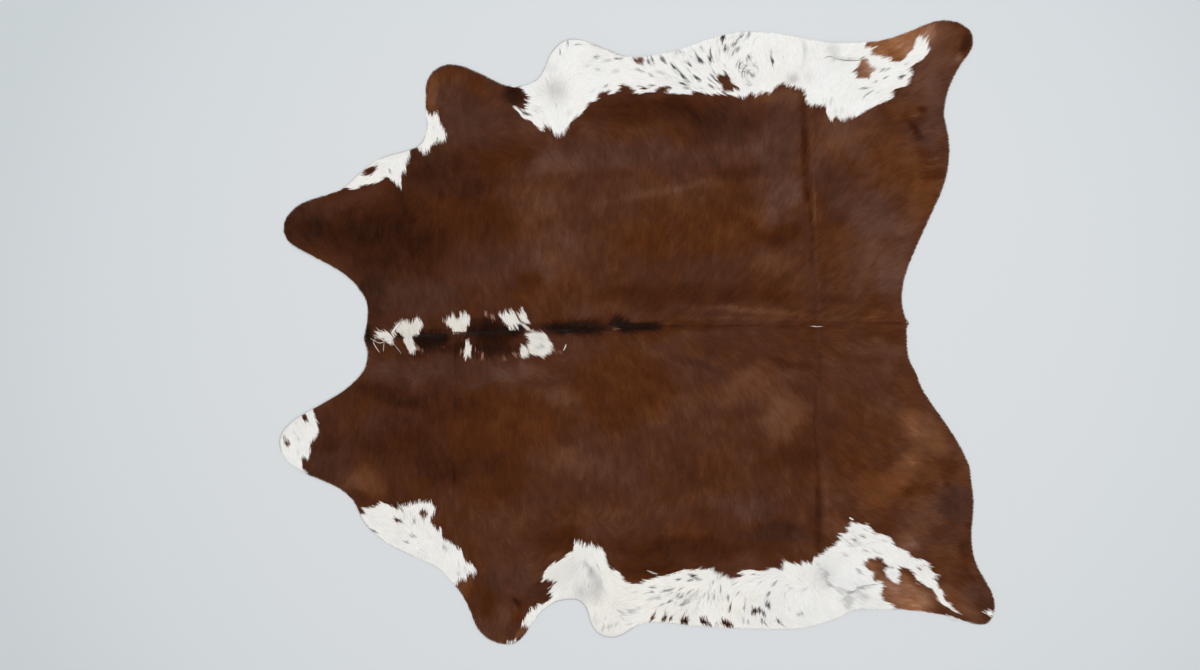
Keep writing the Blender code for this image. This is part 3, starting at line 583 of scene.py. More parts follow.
FLECKS = tuple(Fleck(*row) for row in (
    # neck edges, right
    (-854, 519, 44, 22, 30, 0.22, 0.4), (-789, 515, 12, 9, 60, 0.5), (-830, 544, 13, 7, 0, 0.86),
    (-670, 666, 6, 15, 0, 0.86), (-650, 659, 11, 6, 0, 0.86),
    # cheek, left
    (-1062, -272, 26, 14, -58, 0.2, 0.2), (-1120, -352, 21, 14, -40, 0.3, 0.2),
    (-1126, -336, 13, 6, -80, 0.7), (-1091, -290, 13, 7, 70, 0.84), (-1099, -317, 16, 7, 65, 0.84),
    (-1086, -341, 16, 7, 65, 0.84), (-1082, -381, 13, 7, -70, 0.86),
    # shoulder, left
    (-682, -578, 24, 26, 84, 0.2, 0.2), (-765, -599, 26, 12, -22, 0.2, 0.2), (-712, -602, 16, 8, 88, 0.42),
    (-842, -634, 16, 8, -35, 0.14), (-718, -650, 22, 7, -3, 0.62), (-736, -666, 13, 9, 0, 0.68),
    (-619, -685, 22, 6, -72, 0.64), (-611, -688, 19, 6, -68, 0.68), (-696, -669, 10, 7, 45, 0.84),
    (-725, -579, 13, 5, -60, 0.85), (-570, -768, 11, 8, 0, 0.7), (-571, -736, 19, 7, -80, 0.86),
    (-550, -758, 16, 7, 80, 0.86), (-757, -560, 22, 5, -60, 0.7), (-749, -571, 22, 5, -62, 0.66),
    (-880, -568, 16, 13, -40, 0.28, 0.6), (-746, -586, 13, 5, -60, 0.84),
    # elbow, right
    (-246, 898, 14, 8, 90, 0.56), (-221, 926, 16, 5, 86, 0.62), (-190, 923, 11, 10, 60, 0.64),
    (-262, 912, 8, 7, 0, 0.84), (-131, 882, 17, 8, 45, 0.2), (-154, 861, 32, 6, 48, 0.84),
    (-126, 843, 13, 10, 0, 0.8), (-62, 877, 26, 6, 2, 0.64), (-93, 870, 29, 9, 5, 0.85),
    (-67, 838, 16, 12, 0, 0.86), (-355, 702, 26, 9, -28, 0.46), (-342, 698, 13, 6, -40, 0.6),
    (-280, 803, 10, 6, 0, 0.84), (-261, 795, 13, 16, 0, 0.86), (-253, 771, 13, 9, 0, 0.85),
    (-258, 725, 6, 13, 0, 0.84), (-317, 722, 32, 5, 2, 0.84), (-317, 709, 29, 5, 2, 0.85),
    (-213, 706, 22, 7, 20, 0.84), (-141, 774, 14, 6, 65, 0.84), (-98, 790, 13, 8, 32, 0.7),
    # belly, right, front
    (35, 870, 22, 7, -68, 0.4), (48, 874, 26, 7, -74, 0.4), (82, 874, 24, 14, -62, 0.5),
    (115, 853, 19, 9, -58, 0.3), (123, 901, 11, 6, -80, 0.56), (133, 902, 11, 6, -85, 0.56),
    (168, 858, 19, 9, -30, 0.4), (200, 874, 21, 14, -35, 0.32), (190, 886, 19, 5, -58, 0.56),
    (6, 840, 38, 5, -18, 0.64), (45, 824, 19, 6, -50, 0.66), (77, 832, 35, 10, -10, 0.85),
    (146, 822, 21, 9, -48, 0.24), (130, 842, 22, 5, -55, 0.64), (166, 838, 13, 6, -40, 0.82),
    (192, 814, 21, 10, -42, 0.36), (144, 798, 21, 9, -14, 0.3), (163, 802, 16, 5, -14, 0.56),
    (158, 784, 16, 7, -8, 0.56), (3, 790, 13, 6, 0, 0.66), (46, 790, 14, 6, 0, 0.5),
    (22, 781, 29, 6, 2, 0.3, 0.5), (206, 912, 16, 6, -65, 0.62), (235, 896, 26, 6, 90, 0.56),
    (234, 878, 26, 13, 88, 0.34), (256, 934, 16, 7, 88, 0.84), (274, 944, 24, 13, 75, 0.06),
    (282, 912, 15, 10, 72, 0.42), (310, 922, 19, 9, 24, 0.46), (322, 936, 26, 5, 52, 0.6),
    (333, 955, 13, 5, 60, 0.66), (334, 949, 16, 7, 60, 0.5), (358, 955, 14, 8, 65, 0.6),
    (325, 909, 12, 9, 50, 0.5), (309, 898, 22, 6, 62, 0.62), (358, 882, 14, 12, 30, 0.34),
    (376, 861, 19, 6, 8, 0.68), (326, 858, 22, 5, 60, 0.62), (346, 858, 22, 5, 48, 0.6),
    (339, 842, 29, 5, 85, 0.66), (355, 829, 22, 5, 85, 0.7), (370, 827, 10, 12, 0, 0.62),
    (282, 851, 14, 7, 88, 0.84), (432, 869, 22, 9, -70, 0.14), (429, 893, 26, 5, -86, 0.62),
    (470, 878, 12, 7, 70, 0.85), (203, 784, 16, 5, -10, 0.7), (235, 790, 19, 8, -30, 0.5),
    (242, 821, 19, 5, -40, 0.56), (250, 810, 19, 5, -42, 0.52), (259, 800, 19, 5, -40, 0.48),
    (237, 806, 19, 5, -35, 0.64), (269, 822, 30, 5, -55, 0.24, 0.4), (278, 822, 32, 5, -55, 0.2, 0.4),
    (288, 824, 32, 6, -55, 0.22, 0.4), (246, 834, 19, 5, -50, 0.68), (259, 783, 16, 5, -20, 0.5),
    (357, 803, 16, 5, -30, 0.82),
    # thigh, right
    (846, 818, 21, 10, 30, 0.14), (786, 843, 17, 7, 33, 0.58), (803, 845, 10, 6, 35, 0.68),
    (797, 818, 13, 6, 30, 0.62), (762, 803, 13, 6, 28, 0.64), (730, 784, 29, 6, 6, 0.64),
    (741, 766, 38, 5, 32, 0.64), (861, 861, 8, 7, 40, 0.6), (602, 741, 19, 6, -20, 0.82),
    (621, 740, 19, 6, 14, 0.82), (653, 710, 10, 7, 0, 0.86), (634, 710, 10, 7, 0, 0.86),
    (726, 878, 14, 6, -25, 0.42, 0.5),
    # belly, left, elbow
    (-88, -938, 16, 10, 0, 0.82), (-66, -931, 10, 12, 0, 0.82), (-109, -944, 11, 9, 0, 0.82),
    (-53, -890, 16, 6, -45, 0.7), (-42, -896, 16, 6, -45, 0.7), (-19, -886, 19, 7, 10, 0.78),
    (-18, -895, 16, 5, 10, 0.8), (-8, -829, 16, 7, 0, 0.84), (2, -880, 16, 7, 10, 0.84),
    (-26, -931, 13, 7, 0, 0.86),
    # belly, left, front
    (50, -813, 17, 8, 3, 0.52), (46, -829, 27, 5, 4, 0.66), (99, -822, 38, 7, 9, 0.6),
    (66, -848, 19, 7, 0, 0.7), (106, -858, 15, 9, 5, 0.52), (131, -790, 15, 7, 5, 0.48),
    (176, -776, 21, 8, -25, 0.3), (192, -783, 16, 6, -15, 0.5), (171, -790, 21, 6, 15, 0.46),
    (195, -790, 14, 7, -5, 0.5), (179, -758, 14, 5, 0, 0.36, 0.5), (131, -838, 17, 7, 60, 0.5),
    (139, -846, 14, 7, 58, 0.58), (166, -830, 17, 6, 50, 0.5), (139, -819, 13, 7, 20, 0.66),
    (142, -869, 11, 10, 60, 0.56), (243, -795, 16, 7, 30, 0.68), (262, -782, 19, 5, 0, 0.68),
    (267, -821, 18, 6, 84, 0.56), (291, -846, 17, 8, -85, 0.46), (246, -842, 19, 6, 88, 0.68),
    (227, -851, 19, 6, 86, 0.7), (298, -883, 15, 10, 84, 0.28), (300, -870, 15, 5, 84, 0.5),
    (314, -802, 14, 7, 30, 0.62), (323, -835, 16, 7, 70, 0.68), (342, -878, 14, 8, 80, 0.52),
    (48, -912, 29, 8, 56, 0.1, 0.3), (88, -914, 19, 17, 65, 0.16, 0.3), (91, -899, 14, 5, 75, 0.46),
    (109, -914, 21, 10, 64, 0.18, 0.3), (146, -920, 30, 14, 86, 0.1, 0.3),
    (158, -922, 28, 14, 94, 0.1, 0.3), (219, -926, 36, 18, -32, 0.03, 0.2),
    (232, -934, 16, 8, -20, 0.2, 0.3), (253, -931, 10, 7, 0, 0.4), (288, -931, 40, 19, -25, 0.08, 0.4),
    (277, -923, 13, 8, -30, 0.24, 0.5), (339, -922, 16, 6, -60, 0.84),
    # belly, left, rear
    (420, -834, 17, 8, 65, 0.5), (418, -870, 20, 14, -58, 0.24), (374, -889, 20, 18, 10, 0.06, 0.3),
    (389, -886, 18, 14, 0, 0.1, 0.3), (405, -896, 27, 9, -65, 0.38), (403, -923, 14, 10, -10, 0.22),
    (412, -931, 15, 5, -42, 0.5), (453, -922, 17, 9, -8, 0.22), (464, -931, 20, 5, -48, 0.52),
    (438, -803, 19, 6, 60, 0.66), (466, -816, 14, 7, 5, 0.84), (490, -818, 13, 9, 0, 0.85),
    (530, -822, 10, 9, 0, 0.86), (371, -773, 26, 5, 3, 0.66), (339, -920, 10, 6, 0, 0.7),
    (355, -923, 10, 6, 0, 0.64), (520, -898, 24, 13, 40, 0.68), (605, -768, 17, 7, -45, 0.66),
    # thigh, left
    (725, -651, 11, 9, -20, 0.5), (696, -661, 17, 7, -20, 0.58), (688, -680, 26, 5, 4, 0.82),
    (760, -643, 16, 6, -14, 0.66, 0.3), (728, -630, 13, 6, -20, 0.84), (667, -662, 13, 7, -25, 0.84),
    (725, -694, 14, 7, -12, 0.82), (754, -696, 14, 7, -12, 0.82), (774, -704, 13, 7, -15, 0.84),
    (789, -664, 14, 7, -40, 0.82), (664, -710, 20, 14, 0, 0.84), (709, -760, 11, 10, 0, 0.64),
    (717, -768, 10, 7, -40, 0.84), (816, -749, 8, 7, 10, 0.56), (914, -746, 11, 6, 20, 0.6, 0.3),
    (904, -754, 11, 6, 0, 0.64, 0.3), (898, -800, 6, 5, 0, 0.9, 0.5), (51, -768, 27, 5, -24, 0.92, 0.5),
    # backbone
    (-562, -58, 22, 8, -80, 0.68, 0.3), (-517, -53, 11, 8, 0, 0.68, 0.3), (-506, -61, 11, 6, 90, 0.68, 0.3),
    (-494, -72, 22, 8, -80, 0.68, 0.3), (-483, 61, 16, 12, -35, 0.7, 0.3),
    (-462, 53, 17, 13, -35, 0.7, 0.3), (-685, -56, 14, 6, 90, 0.68, 0.3), (-701, -45, 14, 10, 0, 0.66, 0.3),
    (-390, -67, 14, 11, 0, 0.66, 0.3), (-426, -80, 19, 6, 90, 0.6, 0.3), (-266, -54, 14, 10, 80, 0.68, 0.3),
    (-246, -61, 17, 6, 80, 0.6, 0.3), (-621, -40, 19, 4, -40, 0.5, 0.5), (-74, 10, 12, 5, 15, 0.52, 0.04),
    (-58, 14, 16, 4, 15, 0.44, 0.04), (86, 42, 6, 4, 0, 0.66, 0.4), (106, 32, 6, 4, 0, 0.66, 0.4),
    (-307, -42, 26, 5, 30, 0.7), (-314, -54, 26, 5, 30, 0.82),
    # edges
    (576, 21, 44, 4, 0, 0.86, 0.5), (1014, -912, 19, 5, -20, 0.92, 0.5),
))

# Single long wisps of hair that lie over the coat, each thickest in its middle. The grey ones lie
# round the whorl, and those in the flanks' creases are grey lines of painted crease shadow.
Wisp = namedtuple("Wisp", "width tone warmth path")

WISPS_AND_CREASE_SHADOWS = tuple(Wisp(*row) for row in (
    (8, 0.94, 0.5, ((-787, -6), (-771, 18), (-755, 35))),
    (2.6, 0.92, 0.5, ((-845, -26), (-835, -45), (-822, -64))),
    (2.2, 0.92, 0.5, ((-835, -26), (-822, -32), (-803, -26))),
    (2.0, 0.9, 0.5, ((-808, -29), (-810, -45), (-811, -61))),
    (2.6, 0.8, 0.4, ((-778, -32), (-765, -51), (-752, -67))),
    (4, 0.94, 0.5, ((-237, -58), (-230, -46), (-227, -35))),
    (6, 0.95, 0.5, ((678, -589), (685, -594), (694, -598))),
    (4, 0.74, 0.5, ((726, -605), (736, -609), (746, -611))),
    (4, 0.95, 0.5, ((998, -902), (1011, -915), (1027, -922))),
    (3, 0.95, 0.5, ((986, -896), (1002, -910), (1014, -918))),
    (2.6, 0.66, GREY, ((351, 824), (354, 838), (366, 841))),
    (2.4, 0.7, GREY, ((373, 834), (374, 822), (363, 817))),
    (2.2, 0.62, GREY, ((358, 832), (364, 827), (368, 831))),
    (3, 0.66, GREY, ((340, 810), (337, 838), (357, 857))),
    (2.4, 0.72, GREY, ((347, 813), (344, 832), (353, 846))),
    (2.6, 0.68, GREY, ((328, 829), (327, 853), (343, 872))),
    (2.4, 0.74, GREY, ((317, 842), (319, 862), (333, 879))),
    (2.2, 0.76, GREY, ((371, 858), (383, 851), (388, 838))),
    (2.2, 0.78, GREY, ((346, 800), (358, 792), (372, 795))),
    # grey lines of painted shadow along the right flank's crease and the left flank pocket
    (2.6, 0.7, GREY, ((597, 876), (614, 884), (635, 877))),
    (3, 0.66, GREY, ((630, 879), (675, 871), (724, 874))),
    (2.6, 0.74, GREY, ((668, -826), (686, -828), (707, -816))),
    (2.6, 0.72, GREY, ((702, -819), (733, -807), (771, -804))),
))
WISP_STEPS = 8

# Where single dark hairs are mixed into the white, and how thickly.
Roan = namedtuple("Roan", "x y length width turn share")

ROANS = tuple(Roan(*row) for row in (
    (170, 880, 422, 147, 0, 0.55), (-150, 880, 262, 141, 0, 0.14), (320, 905, 230, 150, 0, 0.56),
    (138, 822, 269, 128, -30, 0.5), (362, 829, 77, 77, 0, 0.8), (800, 778, 205, 128, 20, 0.2),
    (179, -848, 563, 179, 0, 0.52), (419, -848, 205, 179, 0, 0.45), (-42, -870, 179, 147, 0, 0.3),
    (-58, -902, 128, 102, 0, 0.24), (701, -662, 224, 102, -20, 0.6), (-701, -598, 224, 109, -20, 0.3),
    (560, -800, 198, 160, 0, 0.15), (-1082, -362, 109, 122, 0, 0.2), (-256, 790, 90, 130, 0, 0.22),
    (-138, -790, 80, 170, 10, 0.36), (410, -800, 190, 110, 0, 0.38), (-80, -905, 130, 60, 0, 0.35),
))

# Painted shade in the white, grey where the hide dips.
DipShade = namedtuple("DipShade", "x y length width turn depth")

DIP_SHADES = tuple(DipShade(*row) for row in (
    (-256, 784, 110, 180, 12, 0.028), (-253, -781, 120, 110, 0, 0.035), (595, -778, 110, 130, 0, 0.045),
    (-282, 778, 170, 90, 10, 0.036), (-278, 854, 51, 77, 80, 0.04), (-250, 770, 70, 120, 0, 0.02),
    (-131, 922, 45, 16, -15, 0.07), (-61, 893, 83, 19, -20, 0.07), (534, 899, 22, 109, 0, 0.05),
    (526, 846, 19, 16, 0, 0.06), (496, 816, 64, 51, 0, 0.07), (499, 813, 32, 29, 0, 0.05),
    (624, 902, 77, 58, -20, 0.07), (634, 878, 51, 8, -10, 0.12), (682, 873, 70, 8, 0, 0.12),
    (547, 816, 45, 58, 0, 0.04), (-166, -738, 36, 30, -30, 0.08), (-150, -762, 40, 56, 20, 0.07),
    (-130, -790, 50, 90, 20, 0.07), (-128, -829, 80, 90, 0, 0.05), (-182, -829, 90, 80, 0, 0.05),
    (-134, -915, 29, 45, 0, 0.08), (-205, -752, 109, 109, 0, 0.04), (589, -749, 8, 42, 8, 0.08),
    (602, -781, 13, 38, 30, 0.08), (624, -810, 38, 10, -20, 0.09), (650, -830, 26, 13, -40, 0.1),
    (653, -822, 38, 11, -18, 0.1), (691, -828, 51, 13, 4, 0.14), (717, -816, 45, 13, 22, 0.16),
    (746, -808, 38, 11, 8, 0.12), (678, -851, 54, 64, 0, 0.1), (678, -877, 32, 38, 0, 0.1),
    (723, -842, 51, 38, 0, 0.08), (614, -805, 26, 26, 0, 0.07), (-80, -854, 192, 160, 0, 0.02),
    (-1078, -438, 83, 38, -30, 0.04),
))

# Smooth noises: the size of their cells, their strength, and the number that sets each apart.
Grain = namedtuple("Grain", "cell amount salt")

SHADE_DRIFT = Grain(70.0, 16.0, 120)  # how the rims of the shades stray
LINE_DRIFT = Grain(25.0, 2.5, 130)  # how a fold line strays
LINE_WAVER = Grain(40.0, 0.5, 132)  # how its strength changes along it
BORDER_DRIFT = Grain(9.0, 2.2, 138)  # how the borders of the areas stray
AREA_WARMTH = Grain(60.0, 0.2, 140)  # how the warmth and tone change inside an area
AREA_FINE = Grain(9.0, 0.010, 142)
AREA_BROAD = Grain(45.0, 0.012, 143)
WHITE_DRIFT = Grain(30.0, 5.0, 150)  # how the rims of the tints, dips and roans stray
ROAN_HAIRS = Grain(3.7, 0.6, 160)  # where the dark hairs in the white lie
RIM_WAVER = Grain(26.0, 1.3, 200)  # how the width of the bare rim changes
SWING_BROAD = Grain(120.0, 15.0, 210)  # how the locks swing, in degrees, in ever smaller bundles
SWING_MIDDLE = Grain(17.0, 13.0, 211)
SWING_LOCK = Grain(LOCK, 7.0, 212)
LENGTH_WAVER = Grain(30.0, 0.12, 213)
RAGGED_WAVER = Grain(LOCK, RAGGED, 214)
TIP_WAVER = Grain(12.0, 1.2, 215)  # how the rim of the tips comes and goes
ROLL_WAVER = Grain(13.0, 0.35, 216)
RAISE_WAVER = Grain(10.0, 0.5, 217)
MOTTLE_SALT = 100
STREAK_PLACES = (-1.0, -0.33, 0.33, 1.0)  # where a streak is sampled, in its stretch
STREAK_HEIGHT = 0.4
NOISE_SIDE = 251  # cells after which a noise repeats

# Middle tone and warmth of the coat. Tone runs from 0, near black, to 1, white. Warmth runs from 0,
# a greyish violet brown that also serves as painted sheen, to 1, an orange brown.
BASE_TONE = 0.345
BASE_WARMTH = 0.6
SHADE_DEPTH = 1.25  # how strongly the shades above work on the tone
LINE_DEPTH = 1.6  # the same for the fold lines
PLATEAU_RIM = 1.15  # where a shade has died out, in its half length
PLATEAU_FALL = 0.8  # how far inside that it begins to fall
LINE_END = 50.0  # reach over which a line dies out at its ends
LINE_END_SHARE = 0.3  # the same on a short line, as a share of its length
LINE_MEAN = 0.75  # middle strength of a line
BROWN_TONES = (0.02, 0.74)  # least and greatest tone of the brown coat
HAIR_TONES = (0.035, 0.965)  # the same for all hair
WARMTHS = (0.04, 0.96)  # least and greatest warmth
WHITE_FROM = 0.8  # tone from which hair counts as white
GREY_BELOW = 0.86  # tone below which hair in the white is grey
# The painted shade in a dip takes warmth as well as tone.
DIP_SHADE_COOLING = 3.0  # how much more warmth than tone a dip takes

# How far the dark hairs follow their streaks and chance, how much of the white they can take, and
# how dark they are.
ROAN_PLACES = (-0.5, 0.0, 0.5)
ROAN_STREAKS = 0.42
ROAN_CHANCE = 0.34
ROAN_SHARE = 0.62
ROAN_LEAST = 0.03
ROAN_STEP = 0.03
ROAN_DEPTH = 0.8
ROAN_DARKEST = 0.34

FLECK_RAGGED = 0.3  # how ragged the rim of a fleck is, in its half length
FLECK_RIM = 1.2  # where it ends
FLECK_FALL = 0.45  # how far inside that it begins to fade

# Irregularities of the coat: the size of their cells, how far they are drawn out along the hair, and
# how much they change the tone and warmth.
Mottle = namedtuple("Mottle", "cell stretch tone warmth")

MOTTLES = (
    Mottle(150.0, 20.0, 0.016, 0.10), Mottle(58.0, 14.0, 0.021, 0.10), Mottle(23.0, 10.0, 0.026, 0.08),
    Mottle(8.0, 9.0, 0.034, 0.05),
)

# Colours of the hair over its tone, for the warmest and the greyest coat, as red, green and blue
# counted up to 255 on a screen. The greyest is also the colour of the painted sheen.
WARM_HAIR = (
    (0.00, (16, 5, 0)), (0.15, (53, 22, 4)), (0.35, (82, 40, 11)), (0.55, (113, 66, 31)),
    (0.70, (158, 104, 66)), (0.80, (196, 172, 148)), (0.90, (232, 227, 216)), (1.00, (254, 252, 246)),
)
GREY_AND_SHEEN_HAIR = (
    (0.00, (18, 7, 4)), (0.15, (54, 28, 17)), (0.35, (83, 51, 38)), (0.55, (112, 79, 65)),
    (0.70, (160, 125, 110)), (0.80, (180, 178, 178)), (0.90, (222, 223, 224)), (1.00, (251, 252, 252)),
)

# Neutral hair also gives the painted shade in the dips and creases of the white.
NEUTRAL_HAIR = (  # grey and black hair in the white
    (0.00, (28, 24, 24)), (0.35, (85, 80, 80)), (0.60, (140, 138, 137)), (0.80, (192, 192, 192)),
    (0.90, (227, 226, 222)), (1.00, (252, 252, 249)),
)

# Where on the map of tone and warmth the neutral hair lies, and where the coloured hair begins.
NEUTRAL_PLACE = 0.06
COLOURED_PLACE = 0.20

# Colours of the suede side of the leather; of its cut edge, partly its own grey and partly painted
# contact shadow along the rim; and of the floor from its rim to its middle, paler in the middle as a
# painted pool of light.
SUEDE = ((0.30, (196, 184, 164)), (0.50, (222, 212, 194)), (0.70, (238, 231, 217)))
CUT_EDGE_AND_SHADOW = ((0.30, (170, 170, 167)), (0.50, (190, 190, 187)), (0.70, (206, 206, 204)))
FLOOR_AND_LIGHT_POOL = (
    (0.40, (206, 213, 216)), (0.53, (212, 218, 221)), (0.66, (215, 219, 222)), (1.00, (215, 219, 222)),
)

# Surfaces: how rough they are and how strongly they shine, their noises with a number of cells in a
# metre, and how strong their relief is and how deep in metres.
Finish = namedtuple("Finish", "roughness specular")
Texture = namedtuple("Texture", "scale detail roughness")
Relief = namedtuple("Relief", "strength depth")
HAIR_FINISH = Finish(0.6, 0.04)
FELT_FINISH = Finish(0.75, 0.2)
SUEDE_FINISH = Finish(0.85, 0.15)
FLOOR_FINISH = Finish(0.7, 0.2)
FELT = Texture(260.0, 4.0, 0.5)
FELT_RELIEF = Relief(0.5, 0.0008)
FELT_STREAK = 0.16  # how strongly the felt's streaks change its tone
# The undercoat is darkened as painted shade under the lying hair.
FELT_PAINTED_SHADE = 0.12  # how much darker it is than the hair over it
CLOUDS = Texture(9.0, 6.0, 0.6)
NAP = Texture(420.0, 5.0, 0.5)
NAP_RELIEF = Relief(0.4, 0.0006)
NAP_SHARE = 0.35  # the nap's share in the suede's colour beside the clouds

# The stage in metres, and the camera's lens and sensor in millimetres
FLOOR_SIDE = 40.0
FLOOR_DROP = 0.0006
# A painted pool of light: the floor's colour is paler round its middle.
LIGHT_POOL_PLACE = (-0.02, 0.03, 0.0)  # the pale middle of the floor, and how it spreads
LIGHT_POOL_SCALE = (0.26, 0.30, 0.0)
CAMERA_X = -0.1184
CAMERA_Y = -0.0064
CAMERA_LENS = 50.0
CAMERA_SENSOR = 36.0
FRAME_WIDTH = 3.84  # width of the floor that the picture takes in
SKY = 0.57  # light from all round
SKY_COLOUR = (1.0, 1.0, 1.0)
KEY_POWER = 245.0  # power of the soft lamp
KEY_PLACE = (0.4, 0.8, 7.0)
KEY_SIDE = 3.6


def noise(points, cell, salt):
    """Smooth noise from -1 to 1: a random value at each corner of square cells, blended between the
    corners by 3t^2 - 2t^3 along both sides."""
    values = np.random.default_rng(SEED + salt).uniform(-1.0, 1.0, (NOISE_SIDE, NOISE_SIDE))
    place = points / cell
    corner = np.floor(place).astype(int)
    t = place - corner
    t = t * t * (3.0 - 2.0 * t)
    i, j = (corner % NOISE_SIDE).T
    k, l = ((corner + 1) % NOISE_SIDE).T
    near = values[i, j] * (1.0 - t[:, 0]) + values[k, j] * t[:, 0]
    far = values[i, l] * (1.0 - t[:, 0]) + values[k, l] * t[:, 0]
    return near * (1.0 - t[:, 1]) + far * t[:, 1]


def waver(points, grain):
    """A smooth noise at each point, as strong as its grain says."""
    return grain.amount * noise(points, grain.cell, grain.salt)


def drift(points, grain):
    """The points, each moved by one smooth noise along X and another along Y."""
    move = np.column_stack([noise(points, grain.cell, grain.salt + axis) for axis in (0, 1)])
    return points + grain.amount * move


def streaks(points, lie, mottle, salt):
    """Noise drawn out along the hair: the sum of four samples spread over the stretch to both sides
    of each point, at two fifths of their height."""
    return STREAK_HEIGHT * sum(noise(points + share * mottle.stretch * lie, mottle.cell, salt)
                               for share in STREAK_PLACES)


def round_top(reach):
    """Weight of a round heap or dent: (1 - r^2)^2, from 1 in its middle to 0 at its rim and past it."""
    return (1.0 - np.clip(reach, 0.0, 1.0) ** 2) ** 2


def turned(vectors, angle):
    """The vectors turned by an angle, which is one for all or one for each."""
    return np.column_stack((vectors[:, 0] * np.cos(angle) - vectors[:, 1] * np.sin(angle),
                            vectors[:, 0] * np.sin(angle) + vectors[:, 1] * np.cos(angle)))


def in_box(points, low, high):
    """The numbers of the points inside a box."""
    return np.flatnonzero(np.all((points > low) & (points < high), axis=1))


Field = namedtuple("Field", "values low step")


def field_points(low, high, step):
    """The places of a square grid over a box, row by row, and the grid's count along X and Y."""
    x = np.arange(low[0], high[0] + step, step)
    y = np.arange(low[1], high[1] + step, step)
    places = np.stack(np.meshgrid(x, y, indexing="ij"), axis=-1)
    return places.reshape(-1, 2), (len(x), len(y))


def sample(field, points):
    """A field's value at each point, blended in a straight line between the grid's four nearest."""
    place = (points - field.low) / field.step
    place = np.clip(place, 0.0, np.array(field.values.shape) - LAST_CELL)
    corner = place.astype(int)
    s, t = (place - corner).T
    i, j = corner.T
    near = field.values[i, j] * (1.0 - s) + field.values[i + 1, j] * s
    far = field.values[i, j + 1] * (1.0 - s) + field.values[i + 1, j + 1] * s
    return near * (1.0 - t) + far * t


def curve_through(knots, steps):
    """Points of a smooth curve through the knots but the first and last, which only steer its ends:
    between each two knots a Catmull-Rom cubic in that many steps."""
    t = np.linspace(0.0, 1.0, steps, endpoint=False)[None, :, None]
    a, b, c, d = (knots[i:len(knots) - 3 + i, None] for i in range(4))
    bend = 2 * a - 5 * b + 4 * c - d
    twist = 3 * b - a - 3 * c + d
    curve = 0.5 * (2 * b + (c - a) * t + bend * t**2 + twist * t**3)
    return np.vstack((curve.reshape(-1, 2), knots[-2:-1]))


def even_steps(curve, step):
    """Points along a curve at an even step, its two ends among them."""
    along = np.concatenate(([0.0], np.cumsum(np.linalg.norm(np.diff(curve, axis=0), axis=1))))
    stations = np.linspace(0.0, along[-1], max(2, round(along[-1] / step) + 1))
    return np.column_stack([np.interp(stations, along, curve[:, axis]) for axis in (0, 1)])


def cut_edge(node):
    """The hide's outline, counterclockwise at an even step: the foot of the node's upright faces,
    walked round from point to point, then rounded by a curve through its points."""
    mesh = node.data
    corners = np.empty(len(mesh.vertices) * 3)
    mesh.vertices.foreach_get("co", corners)
    normals = np.empty(len(mesh.polygons) * 3)
    mesh.polygons.foreach_get("normal", normals)
    faces = np.empty(len(mesh.polygons) * 3, int)
    mesh.polygons.foreach_get("vertices", faces)
    upright = faces.reshape(-1, 3)[np.abs(normals.reshape(-1, 3)[:, 2]) < UPRIGHT]
    plan = corners.reshape(-1, 3)[:, :2] / MM
    _, first, same = np.unique(np.round(plan[upright.ravel()] * MATCHES), axis=0,
                               return_index=True, return_inverse=True)
    rim = plan[upright.ravel()[first]]
    sides = same.reshape(-1, 3)
    neighbours = [set() for _ in rim]
    for a, b, c in sides.tolist():
        for start, end in ((a, b), (b, c), (c, a)):
            if start != end:
                neighbours[start].add(end)
                neighbours[end].add(start)
    order = [0]
    here = min(neighbours[0])
    while here != 0:
        ahead = neighbours[here] - {order[-1]}
        order.append(here)
        here = min(ahead)
    ring = rim[order]
    after = np.roll(ring, -1, axis=0)
    if np.sum(ring[:, 0] * after[:, 1] - after[:, 0] * ring[:, 1]) < 0.0:
        ring = ring[::-1]
    closed = np.vstack((ring[-1:], ring, ring[:2]))
    return even_steps(curve_through(closed, RIM_CURVE_STEPS), RIM_STEP)[:-1]


def edge_gap(ring):
    """Distance to the cut edge over a grid, above zero inside it. Where it is short it is measured to
    the nearest stretches of the edge, and elsewhere to every fourth point. Inside is where a line
    along X has crossed the edge an odd number of times."""
    low = ring.min(axis=0) - GAP_MARGIN * GAP_STEP
    high = ring.max(axis=0) + GAP_MARGIN * GAP_STEP
    places, shape = field_points(low, high, GAP_STEP)
    sparse = ring[::SPARSE]
    nearest = np.empty(len(places), int)
    gap = np.empty(len(places))
    for part in np.array_split(np.arange(len(places)), GAP_PARTS):
        apart = np.hypot(*(places[part, None] - sparse[None]).transpose(2, 0, 1))
        nearest[part] = apart.argmin(axis=1)
        gap[part] = apart.min(axis=1)
    near = np.flatnonzero(gap < GAP_FAR)
    best = gap[near]
    for shift in range(-NEAR_POINTS, NEAR_POINTS):
        number = SPARSE * nearest[near] + shift
        start = ring[number % len(ring)]
        run = ring[(number + 1) % len(ring)] - start
        off = places[near] - start
        share = np.clip(np.sum(off * run, axis=1) / np.sum(run * run, axis=1), 0.0, 1.0)
        best = np.minimum(best, np.linalg.norm(off - share[:, None] * run, axis=1))
    gap[near] = best
    gap = gap.reshape(shape)
    ends = np.roll(ring, -1, axis=0)
    x = low[0] + GAP_STEP * np.arange(shape[0])
    for row in range(shape[1]):
        y = low[1] + GAP_STEP * row
        spans = (ring[:, 1] > y) != (ends[:, 1] > y)
        a, b = ring[spans], ends[spans]
        crossings = np.sort(a[:, 0] + (y - a[:, 1]) * (b[:, 0] - a[:, 0]) / (b[:, 1] - a[:, 1]))
        outside = np.searchsorted(crossings, x) % 2 == 0
        gap[outside, row] *= -1.0
    return Field(gap, low, GAP_STEP)


